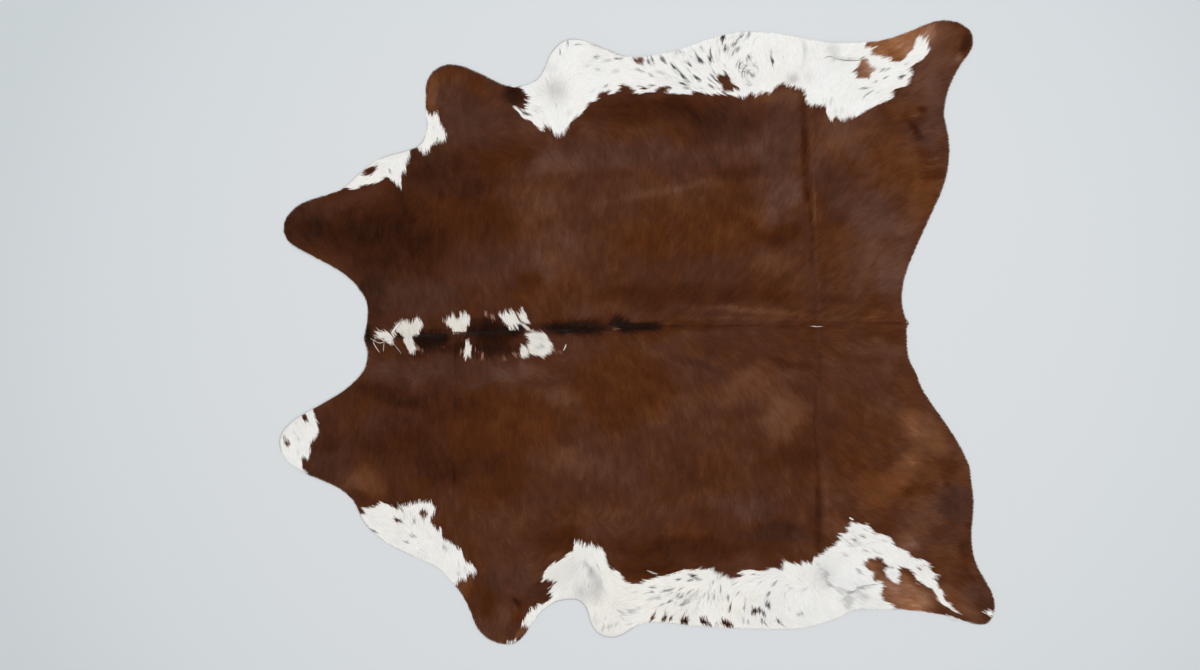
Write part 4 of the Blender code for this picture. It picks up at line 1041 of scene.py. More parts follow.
def path_gap(path, points):
    """Distance of each point from a fold's curve, where along the curve the nearest place is, and the
    curve's length."""
    knots = np.array(path, float)
    knots = np.vstack((2 * knots[0] - knots[1], knots, 2 * knots[-1] - knots[-2]))
    line = even_steps(curve_through(knots, CURVE_STEPS), CREST_STEP)
    step = np.linalg.norm(line[1] - line[0])
    gap = np.full(len(points), np.inf)
    place = np.zeros(len(points))
    for count, (start, end) in enumerate(zip(line, line[1:])):
        run = end - start
        off = points - start
        share = np.clip(off @ run / (run @ run), 0.0, 1.0)
        apart = np.hypot(*(off - share[:, None] * run).T)
        closer = apart < gap
        gap[closer] = apart[closer]
        place[closer] = (count + share[closer]) * step
    return gap, place, step * (len(line) - 1)


def near_path(path, points, reach):
    """The numbers of the points in the box round a path, widened by the reach."""
    knots = np.array(path, float)
    return in_box(points, knots.min(axis=0) - reach, knots.max(axis=0) + reach)


def end_fade(place, length, reach):
    """How far a line has come up at each place along it: 0 at its ends and 1 past the reach."""
    return np.clip(np.minimum(place, length - place) / reach, 0.0, 1.0)


def spot_reach(spot, points):
    """Distance of each point from a long round spot's middle, counted so that its rim is at 1."""
    turn = math.radians(spot.turn)
    x = points[:, 0] - spot.x
    y = points[:, 1] - spot.y
    along = x * math.cos(turn) + y * math.sin(turn)
    across = y * math.cos(turn) - x * math.sin(turn)
    return np.hypot(along / (0.5 * spot.length), across / (0.5 * spot.width))


def fold_height(fold, points):
    """Height of a ridge over each point: it falls from the crest as the square of what is left of the
    half width, and dies out over the fade at both ends."""
    gap, place, length = path_gap(fold.path, points)
    across = np.clip(1.0 - gap / fold.half_width, 0.0, 1.0)
    fade = end_fade(place, length, fold.fade)
    return fold.rise * across**2 * fade * (2.0 - fade)


def wrinkle_height(fold, points):
    """Height of a fine wrinkle over each point, round at its crest: (1 - r^2)^2 over its half width."""
    gap, place, length = path_gap(fold.path, points)
    fade = end_fade(place, length, fold.fade)
    return fold.rise * round_top(gap / fold.half_width) * fade * (2.0 - fade)


def lift(points):
    """How far the leather stands off the floor: the highest of the folds and swells there, and the
    wrinkles added to it."""
    height = np.zeros(len(points))
    for fold in FOLDS.values():
        here = near_path(fold.path, points, fold.half_width)
        height[here] = np.maximum(height[here], fold_height(fold, points[here]))
    for swell in SWELLS.values():
        height = np.maximum(height, swell.rise * round_top(spot_reach(swell, points)))
    for fold in WRINKLES.values():
        here = near_path(fold.path, points, fold.half_width)
        height[here] += wrinkle_height(fold, points[here])
    return height


def lift_field(ring):
    """The lift over a grid."""
    low = ring.min(axis=0) - LIFT_MARGIN * LIFT_STEP
    high = ring.max(axis=0) + LIFT_MARGIN * LIFT_STEP
    places, shape = field_points(low, high, LIFT_STEP)
    return Field(lift(places).reshape(shape), low, LIFT_STEP)


def hair_surface(points, gap, rise):
    """Height of the undercoat's top: the leather on its lift, and the hair roots that thicken from
    nothing at the cut edge to their full height over the coat's shoulder."""
    share = np.clip(gap / COAT_SHOULDER, 0.0, 1.0)
    return np.maximum(sample(rise, points), TROUGH_FLOOR) + LEATHER + UNDERCOAT * share * (2.0 - share)


def inside(border, points):
    """Whether each point lies inside a closed border, by the crossings of a line along X."""
    border = np.array(border, float)
    result = np.zeros(len(points), bool)
    here = in_box(points, border.min(axis=0), border.max(axis=0))
    x, y = points[here, 0, None], points[here, 1, None]
    ax, ay = border.T
    bx, by = np.roll(border, -1, axis=0).T
    spans = (ay > y) != (by > y)
    rise = np.where(by == ay, 1.0, by - ay)
    crossing = ax + (y - ay) * (bx - ax) / rise
    result[here] = (spans & (x < crossing)).sum(axis=1) % 2 == 1
    return result


def plateau(reach):
    """Weight of a spot: 1 in its middle, and falling as a smooth step around three quarters of the
    way to its rim."""
    t = np.clip((PLATEAU_RIM - reach) / PLATEAU_FALL, 0.0, 1.0)
    return t * t * (3.0 - 2.0 * t)


def line_weight(line, seats):
    """The numbers of the seats near a line, and how strongly it works on each: a round top over its
    half width, fading out at both ends and wavering along it."""
    here = near_path(line.path, seats, line.width)
    gap, place, length = path_gap(line.path, drift(seats[here], LINE_DRIFT))
    ends = end_fade(place, length, min(LINE_END, LINE_END_SHARE * length))
    weight = round_top(2.0 * gap / line.width) * ends
    return here, weight * (LINE_MEAN + waver(seats[here], LINE_WAVER))


def brown_coat(seats, lie):
    """Tone and warmth of the brown coat: its middle values with the mottles, the shades with their
    painted sheen, and the fold lines of painted light and shade added."""
    tone = np.full(len(seats), BASE_TONE)
    warmth = np.full(len(seats), BASE_WARMTH)
    for number, mottle in enumerate(MOTTLES):
        salt = MOTTLE_SALT + 2 * number
        tone += mottle.tone * streaks(seats, lie, mottle, salt)
        warmth += mottle.warmth * streaks(seats, lie, mottle, salt + 1)
    blurred = drift(seats, SHADE_DRIFT)
    for shade in SHADES_AND_SHEEN:
        weight = plateau(spot_reach(shade, blurred))
        tone += SHADE_DEPTH * shade.tone * weight
        warmth += shade.warmth * weight
    for line in LIGHT_AND_SHADE_LINES.values():
        here, weight = line_weight(line, seats)
        tone[here] += LINE_DEPTH * line.tone * weight
        warmth[here] += line.warmth * weight
    return np.clip(tone, *BROWN_TONES), warmth


def lay_areas(seats, tone, warmth):
    """Lays the areas over the brown coat. A white one has its own tone, and the others keep the ups
    and downs of the brown under them. Gives where the hair is white."""
    brown = tone.copy()
    bordered = drift(seats, BORDER_DRIFT)
    white = np.zeros(len(seats), bool)
    for area in AREAS.values():
        here = inside(area.border, bordered)
        pale = area.tone > WHITE_FROM
        white[here] = pale
        tone[here] = area.tone if pale else area.tone + brown[here] - BASE_TONE
        warmth[here] = area.warmth + waver(seats[here], AREA_WARMTH)
        tone[here] += waver(seats[here], AREA_FINE) + waver(seats[here], AREA_BROAD)
    return white


def shade_white(seats, shaded, white, tone, warmth):
    """Tints of the white, and its painted shade in the dips and along the creases. Hair that falls below
    the white's own tone is grey.
    """
    for tint in TINTS_AND_SHADE:
        weight = plateau(spot_reach(tint, shaded))
        tone += np.where(white, tint.tone * weight, 0.0)
        warmth += np.where(white, tint.warmth * weight, 0.0)
    for dip in DIP_SHADES:
        weight = round_top(spot_reach(dip, shaded))
        tone -= np.where(white, dip.depth * weight, 0.0)
        warmth -= np.where(white, DIP_SHADE_COOLING * dip.depth * weight, 0.0)
    for crease in CREASE_SHADES.values():
        here, weight = line_weight(crease, seats)
        tone[here] += np.where(white[here], LINE_DEPTH * crease.tone * weight, 0.0)
    warmth[white & (tone < GREY_BELOW)] = GREY


def mix_roans(seats, shaded, lie, draws, white, tone, warmth):
    """Mixes dark hairs into the white, where streaked noise and chance together rise over a level
    that is lower the more thickly they are mixed in."""
    streaked = sum(noise(seats + share * ROAN_STRETCH * lie, ROAN_HAIRS.cell, ROAN_HAIRS.salt)
                   for share in ROAN_PLACES)
    hairs = 0.5 + ROAN_STREAKS * (ROAN_HAIRS.amount * streaked) + ROAN_CHANCE * (draws - 0.5)
    mixed = np.zeros(len(seats))
    for roan in ROANS:
        mixed = np.maximum(mixed, roan.share * round_top(spot_reach(roan, shaded)))
    over = hairs - (1.0 - ROAN_SHARE * mixed)
    dark = white & (over > 0.0) & (mixed > ROAN_LEAST)
    tone[dark] -= np.minimum(ROAN_DARKEST, ROAN_STEP + ROAN_DEPTH * over[dark])
    warmth[dark] = GREY


def lay_flecks(seats, draws, tone, warmth):
    """Lays the flecks over the coat, each with a ragged and slightly faded rim."""
    for fleck in FLECKS:
        near = np.flatnonzero(np.hypot(seats[:, 0] - fleck.x, seats[:, 1] - fleck.y) < fleck.length)
        reach = spot_reach(fleck, seats[near]) + FLECK_RAGGED * (draws[near] - 0.5)
        within = reach < FLECK_RIM
        here = near[within]
        blend = np.clip((FLECK_RIM - reach[within]) / FLECK_FALL, 0.0, 1.0)
        tone[here] += blend * (fleck.tone - tone[here])
        warmth[here] = fleck.warmth


def coat_colour(seats, lie, draws):
    """Tone and warmth of the hair at each seat, and GREY for the warmth of hair that has none. Draws
    are one random number from 0 to 1 for each seat."""
    tone, warmth = brown_coat(seats, lie)
    white = lay_areas(seats, tone, warmth)
    shaded = drift(seats, WHITE_DRIFT)
    shade_white(seats, shaded, white, tone, warmth)
    mix_roans(seats, shaded, lie, draws, white, tone, warmth)
    lay_flecks(seats, draws, tone, warmth)
    return tone, np.where(warmth == GREY, GREY, np.clip(warmth, *WARMTHS))


def add_headings(lie, points, table, blur):
    """Adds a table's headings to the lie at each point, each weighted by the inverse fourth power of
    its distance, which is blurred by that reach."""
    for place in table:
        far = np.sum((points - (place.along, place.out)) ** 2, axis=1) + blur**2
        angle = math.radians(place.heading)
        lie += far[:, None] ** -2.0 * np.array((math.cos(angle), math.sin(angle)))


def hair_heading(points):
    """Unit direction in which the hair lies at each point, from the two tables. The broad one is
    mirrored on the left flank and turned towards the tail right on the backbone. Last the hair is
    turned round the whorl."""
    middle = np.interp(points[:, 0], *np.array(FOLDS["backbone"].path, float).T)
    out = points[:, 1] - middle
    lie = np.zeros((len(points), 2))
    add_headings(lie, np.column_stack((points[:, 0], np.abs(out))), HAIR_LIE, LIE_BLUR)
    strength = np.linalg.norm(lie, axis=1)
    parting = np.clip(np.abs(out) / PARTING, 0.0, 1.0)
    lie[:, 0] += TAIL_PULL * strength * (1.0 - parting)
    lie[:, 1] *= parting * np.sign(out)
    add_headings(lie, points, CLOSE_LIE, CLOSE_BLUR)
    lie /= np.linalg.norm(lie, axis=1)[:, None]
    off = points - WHORL
    reach = np.linalg.norm(off, axis=1)
    swirl = turned(off, math.radians(WHORL_TURN)) / (reach + WHORL_MIDDLE)[:, None]
    weight = round_top(reach / WHORL_REACH)[:, None]
    lie = lie * (1.0 - weight) + WHORL_PULL * swirl * weight
    return lie / np.linalg.norm(lie, axis=1)[:, None]


def inward(ring):
    """Unit direction into the hide at each point of its cut edge."""
    run = np.roll(ring, -1, axis=0) - np.roll(ring, 1, axis=0)
    run /= np.linalg.norm(run, axis=1)[:, None]
    return np.column_stack((-run[:, 1], run[:, 0]))


def leather_net(ring, gap, step):
    """The hide's plan as triangles: its cut edge, rings inside it and a staggered grid. Gives the
    points, the triangles, and the number of each rim point among the points."""
    parts = [ring]
    for inset in RIM_RINGS:
        row = ring + inset * inward(ring)
        parts.append(row[sample(gap, row) > RING_KEEP * inset])
    low, high = ring.min(axis=0), ring.max(axis=0)
    x, y = np.meshgrid(np.arange(low[0], high[0], step), np.arange(low[1], high[1], step * ROW_STEP))
    x[1::2] += 0.5 * step
    grid = np.column_stack((x.ravel(), y.ravel()))
    parts.append(grid[sample(gap, grid) > RIM_RINGS[-1] + 0.5 * step])
    rim = len(ring)
    rim_edges = [(i, (i + 1) % rim) for i in range(rim)]
    flat = [Vector(point) for point in np.concatenate(parts).tolist()]
    corners, _, triangles, origins, _, _ = delaunay_2d_cdt(flat, rim_edges, [], 1, NET_TOLERANCE)
    plan = np.array([corner[:] for corner in corners])
    first = np.array([min(origin) for origin in origins])
    rim_number = np.empty(rim, int)
    on_rim = np.flatnonzero(first < rim)
    rim_number[first[on_rim]] = on_rim
    return plan, np.array(triangles), rim_number


def mesh_from(name, corners, triangles, bake):
    """A mesh of triangles. Bake is the place of each triangle's corners on the export's map."""
    mesh = bpy.data.meshes.new(name)
    mesh.vertices.add(len(corners))
    mesh.vertices.foreach_set("co", np.ascontiguousarray(corners, np.float32).ravel())
    mesh.loops.add(3 * len(triangles))
    mesh.loops.foreach_set("vertex_index", np.ascontiguousarray(triangles, np.int32).ravel())
    mesh.polygons.add(len(triangles))
    mesh.polygons.foreach_set("loop_start", np.arange(0, 3 * len(triangles), 3, dtype=np.int32))
    mesh.uv_layers.new(name="OFBake").uv.foreach_set("vector", np.ascontiguousarray(bake, np.float32).ravel())
    mesh.update(calc_edges=True)
    return mesh


def hide_map(top, low, rim):
    """The places on the export's map of the corners of the top's triangles, the underside's and the
    cut edge's. The edge is two strips, one for each half of its height."""
    s = np.arange(rim) / rim
    u = EDGE_MAP.place[0] + EDGE_MAP.width * s
    v = EDGE_MAP.place[0] + EDGE_MAP.width * (s + 1.0 / rim)
    bake = [sheet.scale * (plan * MM - CAD_CORNER) + sheet.place
            for sheet, plan in ((TOP_MAP, top), (UNDER_MAP, low))]
    for level in (0.0, 1.0):
        near = EDGE_MAP.place[1] + EDGE_MAP.height * level
        low_line, high_line = np.full(rim, near), np.full(rim, near + EDGE_MAP.height)
        bake.append(np.stack((u, low_line, v, low_line, v, high_line), axis=1).reshape(-1, 3, 2))
        bake.append(np.stack((u, low_line, v, high_line, u, high_line), axis=1).reshape(-1, 3, 2))
    return np.concatenate(bake)


def colour_hide(mesh, top):
    """Gives the hide's top the colour of the hair over it, and its other corners a middle one."""
    tone, warmth = coat_colour(top, hair_heading(top), np.full(len(top), 0.5))
    place = map_place(np.where(tone > WHITE_FROM, GREY, warmth))
    for name, values in (("tone", tone), ("map_place", place)):
        every = np.full(len(mesh.vertices), values.mean())
        every[:len(top)] = values
        mesh.attributes.new(name, "FLOAT", "POINT").data.foreach_set("value", every.astype(np.float32))


def hide_mesh(ring, gap, rise):
    """The hide as one closed sheet. Its underside follows the lift, its top stands over that by the
    leather and the undercoat, and its cut edge is a wall whose middle stands out a little."""
    top, top_faces, top_rim = leather_net(ring, gap, TOP_STEP)
    low, low_faces, low_rim = leather_net(ring, gap, UNDER_STEP)
    low_faces = low_faces[:, ::-1]
    top_gap = np.maximum(sample(gap, top), 0.0)
    top_gap[top_rim] = 0.0
    top_height = hair_surface(top, top_gap, rise)
    low_height = np.maximum(sample(rise, low), 0.0)
    top_height = np.maximum(top_height, np.maximum(sample(rise, top), 0.0) + THINNEST * LEATHER)
    middle = ring - EDGE_BULGE * inward(ring)
    middle_height = 0.5 * (top_height[top_rim] + low_height[low_rim])

    rim = len(ring)
    low_rim = low_rim + len(top)
    middle_rim = len(top) + len(low) + np.arange(rim)
    walls = []
    for under, over in ((low_rim, middle_rim), (middle_rim, top_rim)):
        ahead_under, ahead_over = np.roll(under, -1), np.roll(over, -1)
        walls.append(np.column_stack((under, ahead_under, ahead_over)))
        walls.append(np.column_stack((under, ahead_over, over)))
    corners = np.vstack((
        np.column_stack((top, top_height)),
        np.column_stack((low, low_height)),
        np.column_stack((middle, middle_height)),
    ))
    faces = np.vstack((top_faces, low_faces + len(top), *walls))
    mesh = mesh_from("hide", corners * MM, faces, hide_map(top[top_faces], low[low_faces], rim))
    colour_hide(mesh, top)

    kind = np.full(len(faces), RIM_KIND, np.int32)
    # The top's rim triangles take the cut edge's grey, a painted contact shadow along the rim.
    kind[:len(top_faces)] = np.where(np.isin(top_faces, top_rim).any(axis=1), RIM_KIND, TOP_KIND)
    kind[len(top_faces):len(top_faces) + len(low_faces)] = UNDER_KIND
    mesh.polygons.foreach_set("material_index", kind)
    mesh.shade_smooth()
    mesh.set_sharp_from_angle(angle=math.radians(SHARP_ANGLE))
    return mesh


def lock_roots(gap, random):
    """The roots of the hair locks: a square grid, each point moved at random, inside the bare rim."""
    low = gap.low
    high = low + GAP_STEP * (np.array(gap.values.shape) - 1)
    places, _ = field_points(low, high, HAIR_PITCH)
    places = places + HAIR_PITCH * HAIR_JITTER * random.uniform(-1.0, 1.0, places.shape)
    return places[sample(gap, places) > BARE_RIM + waver(places, RIM_WAVER)]


def trimmed(length, roots, along, gap):
    """The length of each lock, cut short where its tip would pass the rim of the coat."""
    root_gap = sample(gap, roots)
    tip_gap = sample(gap, roots + length[:, None] * along)
    limit = TIP_RIM + waver(roots, TIP_WAVER)
    trim = (root_gap - limit) / np.maximum(root_gap - tip_gap, LEAST_RUN)
    length = length * np.where(tip_gap < limit, np.clip(trim, 0.0, 1.0), 1.0)
    return np.maximum(length, HAIR_STUB)


def lock_shapes(roots, gap, rise, random):
    """The hair locks, each a thin closed spike of four faces: two corners sunk beside its root, one
    on its ridge, and its tip, which lies a little over the undercoat further along the hair. Gives
    the corners of each lock, and its tone and warmth."""
    count = len(roots)

    def stray(amount):
        """A random number for each lock, up to that amount to both sides."""
        return amount * random.uniform(-1.0, 1.0, count)

    swing = waver(roots, SWING_BROAD) + waver(roots, SWING_MIDDLE)
    swing += waver(roots, SWING_LOCK) + stray(SWING_STRAY)
    lie = hair_heading(roots)
    along = turned(lie, np.radians(swing))
    across = np.column_stack((-along[:, 1], along[:, 0]))
    length = HAIR_LENGTH * (1.0 + stray(LENGTH_STRAY) + waver(roots, LENGTH_WAVER))
    ragged = waver(roots, RAGGED_WAVER) + stray(RAGGED_STRAY * RAGGED)
    sideways = stray(SEAT_STRAY)
    seats = roots + (SEAT_SHARE * length + ragged)[:, None] * along + sideways[:, None] * across
    tone, warmth = coat_colour(seats, lie, random.uniform(0.0, 1.0, count))

    white = tone > WHITE_FROM
    length = trimmed(length * np.where(white, WHITE_LENGTH, 1.0), roots, along, gap)
    tips = roots + length[:, None] * along
    half = 0.5 * (HAIR_WIDTH * (1.0 + stray(WIDTH_STRAY)))
    roll = (waver(roots, ROLL_WAVER) + stray(ROLL_STRAY)) * np.where(white, WHITE_ROLL, 1.0)
    foot = hair_surface(roots, sample(gap, roots), rise) - HAIR_SINK
    raised = HAIR_RAISE * (1.0 + waver(roots, RAISE_WAVER) + stray(RAISE_STRAY))
    raised *= np.clip(length / HAIR_LENGTH, LEAST_RAISE, 1.0)
    tip_height = np.maximum(hair_surface(tips, sample(gap, tips), rise), 0.0) + raised
    corners = np.empty((count, LOCK_CORNERS, 3))
    corners[:, 0] = np.column_stack((roots + half[:, None] * across, foot + half * roll))
    corners[:, 1] = np.column_stack((roots - half[:, None] * across, foot - half * roll))
    corners[:, 2] = np.column_stack((roots, foot + HAIR_RIDGE))
    corners[:, 3] = np.column_stack((tips, tip_height))
    tone += stray(np.where(white, WHITE_TONE_STRAY, TONE_STRAY))
    warmth = np.where(warmth == GREY, GREY, np.clip(warmth + stray(WARMTH_STRAY), *WARMTHS))
    return corners, np.clip(tone, *HAIR_TONES), warmth


def wisp_shapes(gap, rise):
    """The long wisps: a closed three-sided spike along each one's curve, pointed at both ends, as
    wide as the square root of 4t(1 - t) along it. Gives the corners, triangles, tones and warmths."""
    corners, faces, tones, warmths = [], [], [], []
    t = np.linspace(0.0, 1.0, WISP_STEPS + 1)[1:-1, None]
    for wisp in WISPS_AND_CREASE_SHADOWS:
        start, middle, end = (np.array(place, float) for place in wisp.path)
        bend = 2.0 * middle - 0.5 * (start + end)
        line = start * (1.0 - t) ** 2 + 2.0 * bend * t * (1.0 - t) + end * t**2
        run = end - start
        across = np.array((-run[1], run[0])) / np.linalg.norm(run)
        half = 0.5 * wisp.width * np.sqrt(4.0 * t * (1.0 - t))
        plan = np.concatenate((start[None], line + half * across, line - half * across, line, end[None]))
        height = hair_surface(plan, sample(gap, plan), rise) + HAIR_RAISE + WISP_OVER
        height[2 * len(t) + 1:-1] += WISP_RIDGE
        ring = 1 + np.arange(len(t))
        base = sum(len(part) for part in corners)
        sides = [ring, ring + 2 * len(t), ring + len(t)]
        last = len(plan) - 1
        for a, b in zip(sides, sides[1:] + sides[:1]):
            faces.append(base + np.array(((0, b[0], a[0]), (last, a[-1], b[-1]))))
            faces.append(base + np.column_stack((a[:-1], b[:-1], b[1:])))
            faces.append(base + np.column_stack((a[:-1], b[1:], a[1:])))
        corners.append(np.column_stack((plan, height)))
        tones.append(np.full(len(plan), wisp.tone))
        warmths.append(np.full(len(plan), wisp.warmth))
    return np.concatenate(corners), np.concatenate(faces), np.concatenate(tones), np.concatenate(warmths)


def wisp_mesh(gap, rise):
    """The wisps and the grey lines of painted crease shadow as one mesh. On the export's map each lies
    at its tone and warmth.
    """
    corners, faces, tone, warmth = wisp_shapes(gap, rise)
    spot = np.column_stack((tone, map_place(warmth)))
    bake = spot[faces] + WISP_DOT * np.array(((-1.0, -1.0), (1.0, -1.0), (0.0, 1.0)))
    mesh = mesh_from("wisps", corners * MM, faces, bake)
    mesh.shade_smooth()
    return mesh


def lock_mesh(name, corners, tone, warmth):
    """One piece of the coat. On the export's map a lock lies at its tone and warmth, a little darker
    at its root than at its tip."""
    count = len(corners)
    faces = LOCK_CORNERS * np.arange(count)[:, None, None] + np.array(LOCK_FACES)
    spot = np.empty((count, LOCK_CORNERS, 2))
    spot[:, :, 0] = tone[:, None] + np.array(LOCK_TONES)
    spot[:, :, 1] = map_place(warmth)[:, None] + np.array(LOCK_WARMTHS)
    bake = spot[:, np.array(LOCK_FACES)]
    mesh = mesh_from(name, corners.reshape(-1, 3) * MM, faces.reshape(-1, 3), bake)
    mesh.shade_flat()
    return mesh


def screen_colour(colour):
    """A screen colour of 0 to 255 as the light it stands for: ((c + 0.055) / 1.055)^2.4 above its
    darkest part, and c / 12.92 in it."""
    share = np.array(colour) / 255.0
    light = np.where(share > 0.04045, ((share + 0.055) / 1.055) ** 2.4, share / 12.92)
    return (*light.tolist(), 1.0)


def colour_ramp(tree, stops):
    """A ramp node with a colour at each stop."""
    ramp = tree.nodes.new("ShaderNodeValToRGB")
    elements = ramp.color_ramp.elements
    while len(elements) < len(stops):
        elements.new(0.5)
    for element, (place, colour) in zip(elements, stops):
        element.position = place
        element.color = screen_colour(colour)
    return ramp


def map_place(warmth):
    """Where hair of each warmth lies on the map's second side: coloured hair above its beginning, and
    grey hair at the neutral place."""
    return np.where(warmth < 0.0, NEUTRAL_PLACE, COLOURED_PLACE + (1.0 - COLOURED_PLACE) * warmth)


def hair_colour(tree, tone, place):
    """The colour of hair from its tone and its place on the map's second side: the grey ramp, which
    also gives the painted sheen, and the warm one mixed by the warmth, and the neutral one, which also
    gives the painted shade in the white, below where coloured hair begins."""
    grey_and_sheen, warm, neutral = (colour_ramp(tree, stops) for stops in (GREY_AND_SHEEN_HAIR, WARM_HAIR, NEUTRAL_HAIR))
    for ramp in (grey_and_sheen, warm, neutral):
        tree.links.new(tone, ramp.inputs["Fac"])
    shares = []
    for low, high in ((COLOURED_PLACE, 1.0), (0.5 * (NEUTRAL_PLACE + COLOURED_PLACE), COLOURED_PLACE)):
        share = tree.nodes.new("ShaderNodeMapRange")
        share.inputs["From Min"].default_value = low
        share.inputs["From Max"].default_value = high
        tree.links.new(place, share.inputs["Value"])
        shares.append(share.outputs["Result"])
    result = grey_and_sheen.outputs["Color"]
    for start, end, share in ((result, warm.outputs["Color"], shares[0]),
                              (neutral.outputs["Color"], None, shares[1])):
        mix = tree.nodes.new("ShaderNodeMix")
        mix.data_type = "RGBA"
        tree.links.new(share, mix.inputs["Factor"])
        tree.links.new(start, mix.inputs["A"])
        tree.links.new(end or result, mix.inputs["B"])
        result = mix.outputs["Result"]
    return result


def new_material(name, finish):
    """A material with one surface shader. Gives the material, its node tree and the shader."""
    material = bpy.data.materials.new(name)
    material.use_nodes = True
    shader = material.node_tree.nodes["Principled BSDF"]
    shader.inputs["Roughness"].default_value = finish.roughness
    shader.inputs["Specular IOR Level"].default_value = finish.specular
    return material, material.node_tree, shader


def noise_texture(tree, texture):
    """A noise over the object's own coordinates, as the socket that gives its value."""
    place = tree.nodes.new("ShaderNodeTexCoord")
    node = tree.nodes.new("ShaderNodeTexNoise")
    node.inputs["Scale"].default_value = texture.scale
    node.inputs["Detail"].default_value = texture.detail
    node.inputs["Roughness"].default_value = texture.roughness
    tree.links.new(place.outputs["Object"], node.inputs["Vector"])
    return node.outputs["Fac"]


def worked_out(tree, operation, *values):
    """One step of reckoning. Each value is a number or the socket that it comes from."""
    node = tree.nodes.new("ShaderNodeMath")
    node.operation = operation
    for place, value in zip(node.inputs, values):
        if isinstance(value, float):
            place.default_value = value
        else:
            tree.links.new(value, place)
    return node.outputs["Value"]


def give_relief(tree, shader, height, relief):
    """Fine relief on a surface, from the socket of its height."""
    bump = tree.nodes.new("ShaderNodeBump")
    bump.inputs["Strength"].default_value = relief.strength
    bump.inputs["Distance"].default_value = relief.depth
    tree.links.new(height, bump.inputs["Height"])
    tree.links.new(bump.outputs["Normal"], shader.inputs["Normal"])


def lock_material():
    """Glossy short hair, coloured by its place on the map of tone and warmth."""
    material, tree, shader = new_material("hair", HAIR_FINISH)
    place = tree.nodes.new("ShaderNodeUVMap")
    place.uv_map = "OFBake"
    split = tree.nodes.new("ShaderNodeSeparateXYZ")
    tree.links.new(place.outputs["UV"], split.inputs["Vector"])
    colour = hair_colour(tree, split.outputs["X"], split.outputs["Y"])
    tree.links.new(colour, shader.inputs["Base Color"])
    return material


def undercoat_material():
    """The felted hair roots: the colour of the hair over them, darkened as painted shade under the hair,
    streaked finely and rougher.
    """
    material, tree, shader = new_material("undercoat_and_shade", FELT_FINISH)
    values = []
    for name in ("tone", "map_place"):
        attribute = tree.nodes.new("ShaderNodeAttribute")
        attribute.attribute_name = name
        values.append(attribute.outputs["Fac"])
    tone, place = values
    fine = noise_texture(tree, FELT)
    lower = worked_out(tree, "SUBTRACT", tone, FELT_PAINTED_SHADE)
    streaked = worked_out(tree, "MULTIPLY_ADD", fine, FELT_STREAK, lower)
    tree.links.new(hair_colour(tree, streaked, place), shader.inputs["Base Color"])
    give_relief(tree, shader, fine, FELT_RELIEF)
    return material


def leather_material(name, colours):
    """Suede leather, clouded broadly and napped finely."""
    material, tree, shader = new_material(name, SUEDE_FINISH)
    nap = noise_texture(tree, NAP)
    clouded = worked_out(tree, "MULTIPLY", noise_texture(tree, CLOUDS), 1.0 - NAP_SHARE)
    ramp = colour_ramp(tree, colours)
    tree.links.new(worked_out(tree, "MULTIPLY_ADD", nap, NAP_SHARE, clouded), ramp.inputs["Fac"])
    tree.links.new(ramp.outputs["Color"], shader.inputs["Base Color"])
    give_relief(tree, shader, nap, NAP_RELIEF)
    return material


def floor_material():
    """The plain pale floor, with a painted pool of light: a little paler round the rug."""
    material, tree, shader = new_material("floor", FLOOR_FINISH)
    place = tree.nodes.new("ShaderNodeTexCoord")
    centre = tree.nodes.new("ShaderNodeMapping")
    centre.inputs["Location"].default_value = LIGHT_POOL_PLACE
    centre.inputs["Scale"].default_value = LIGHT_POOL_SCALE
    light_pool = tree.nodes.new("ShaderNodeTexGradient")
    light_pool.gradient_type = "SPHERICAL"
    ramp = colour_ramp(tree, FLOOR_AND_LIGHT_POOL)
    tree.links.new(place.outputs["Object"], centre.inputs["Vector"])
    tree.links.new(centre.outputs["Vector"], light_pool.inputs["Vector"])
    tree.links.new(light_pool.outputs["Fac"], ramp.inputs["Fac"])
    tree.links.new(ramp.outputs["Color"], shader.inputs["Base Color"])
    return material


def add_piece(name, mesh, material):
    """An object of a finished mesh, in the scene, riding on the part's one body."""
    if material:
        mesh.materials.append(material)
    piece = bpy.data.objects.new(name, mesh)
    bpy.context.scene.collection.objects.link(piece)
    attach(piece, "root")
    return piece


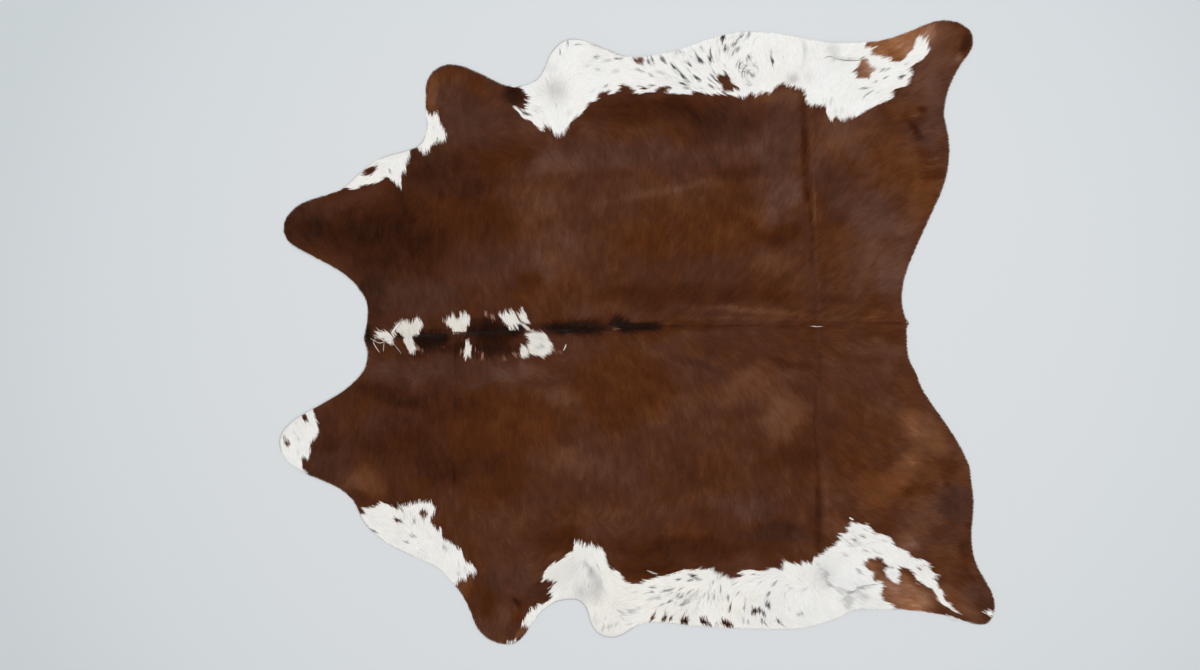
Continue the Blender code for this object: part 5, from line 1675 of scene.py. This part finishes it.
def build_rug():
    """The hide and its coat."""
    random = np.random.default_rng(SEED)
    ring = cut_edge(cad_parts["cowhide"])
    gap = edge_gap(ring)
    rise = lift_field(ring)

    mesh = hide_mesh(ring, gap, rise)
    mesh.materials.append(undercoat_material())
    mesh.materials.append(leather_material("suede_leather", SUEDE))
    # The cut edge's grey is partly painted contact shadow.
    mesh.materials.append(leather_material("cut_edge", CUT_EDGE_AND_SHADOW))
    hide = add_piece("hide", mesh, None)
    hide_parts("cowhide")

    roots = lock_roots(gap, random)
    roots = roots[np.argsort(roots[:, 0])]
    corners, tone, warmth = lock_shapes(roots, gap, rise, random)
    material = lock_material()
    for name, part in zip(COAT_PIECES, np.array_split(np.arange(len(roots)), len(COAT_PIECES))):
        piece = add_piece(name, lock_mesh(name, corners[part], tone[part], warmth[part]), material)
    wisps = add_piece("coat_wisps_and_crease_shadows", wisp_mesh(gap, rise), material)


def lay_floor(scene):
    """A wide floor just under the rug."""
    half = 0.5 * FLOOR_SIDE
    low = cad_low[2] - FLOOR_DROP
    mesh = bpy.data.meshes.new("floor")
    mesh.from_pydata([(-half, -half, low), (half, -half, low), (half, half, low), (-half, half, low)],
                     [], [(0, 1, 2, 3)])
    mesh.materials.append(floor_material())
    floor = bpy.data.objects.new("floor", mesh)
    scene.collection.objects.link(floor)


def light_stage(scene):
    """Even light from all round, and one wide soft lamp past the right flank."""
    scene.world = bpy.data.worlds.new("studio")
    scene.world.use_nodes = True
    sky = scene.world.node_tree.nodes["Background"]
    sky.inputs["Color"].default_value = (*SKY_COLOUR, 1.0)
    sky.inputs["Strength"].default_value = SKY
    lamp_data = bpy.data.lights.new("soft lamp", "AREA")
    lamp_data.shape = "SQUARE"
    lamp_data.size = KEY_SIDE
    lamp_data.energy = KEY_POWER
    lamp = bpy.data.objects.new("soft lamp", lamp_data)
    lamp.location = KEY_PLACE
    lamp.rotation_euler = (-Vector(KEY_PLACE)).to_track_quat("-Z", "Y").to_euler()
    lamp.visible_camera = False
    scene.collection.objects.link(lamp)


def place_camera(scene):
    """The camera straight over the rug, at the height from which its picture takes in the frame."""
    camera_data = bpy.data.cameras.new("camera")
    camera_data.lens = CAMERA_LENS
    camera_data.sensor_width = CAMERA_SENSOR
    camera = bpy.data.objects.new("camera", camera_data)
    camera.location = (CAMERA_X, CAMERA_Y, FRAME_WIDTH * CAMERA_LENS / CAMERA_SENSOR)
    scene.collection.objects.link(camera)
    scene.camera = camera
    scene.view_settings.view_transform = "Standard"


build_rug()
lay_floor(bpy.context.scene)
light_stage(bpy.context.scene)
place_camera(bpy.context.scene)
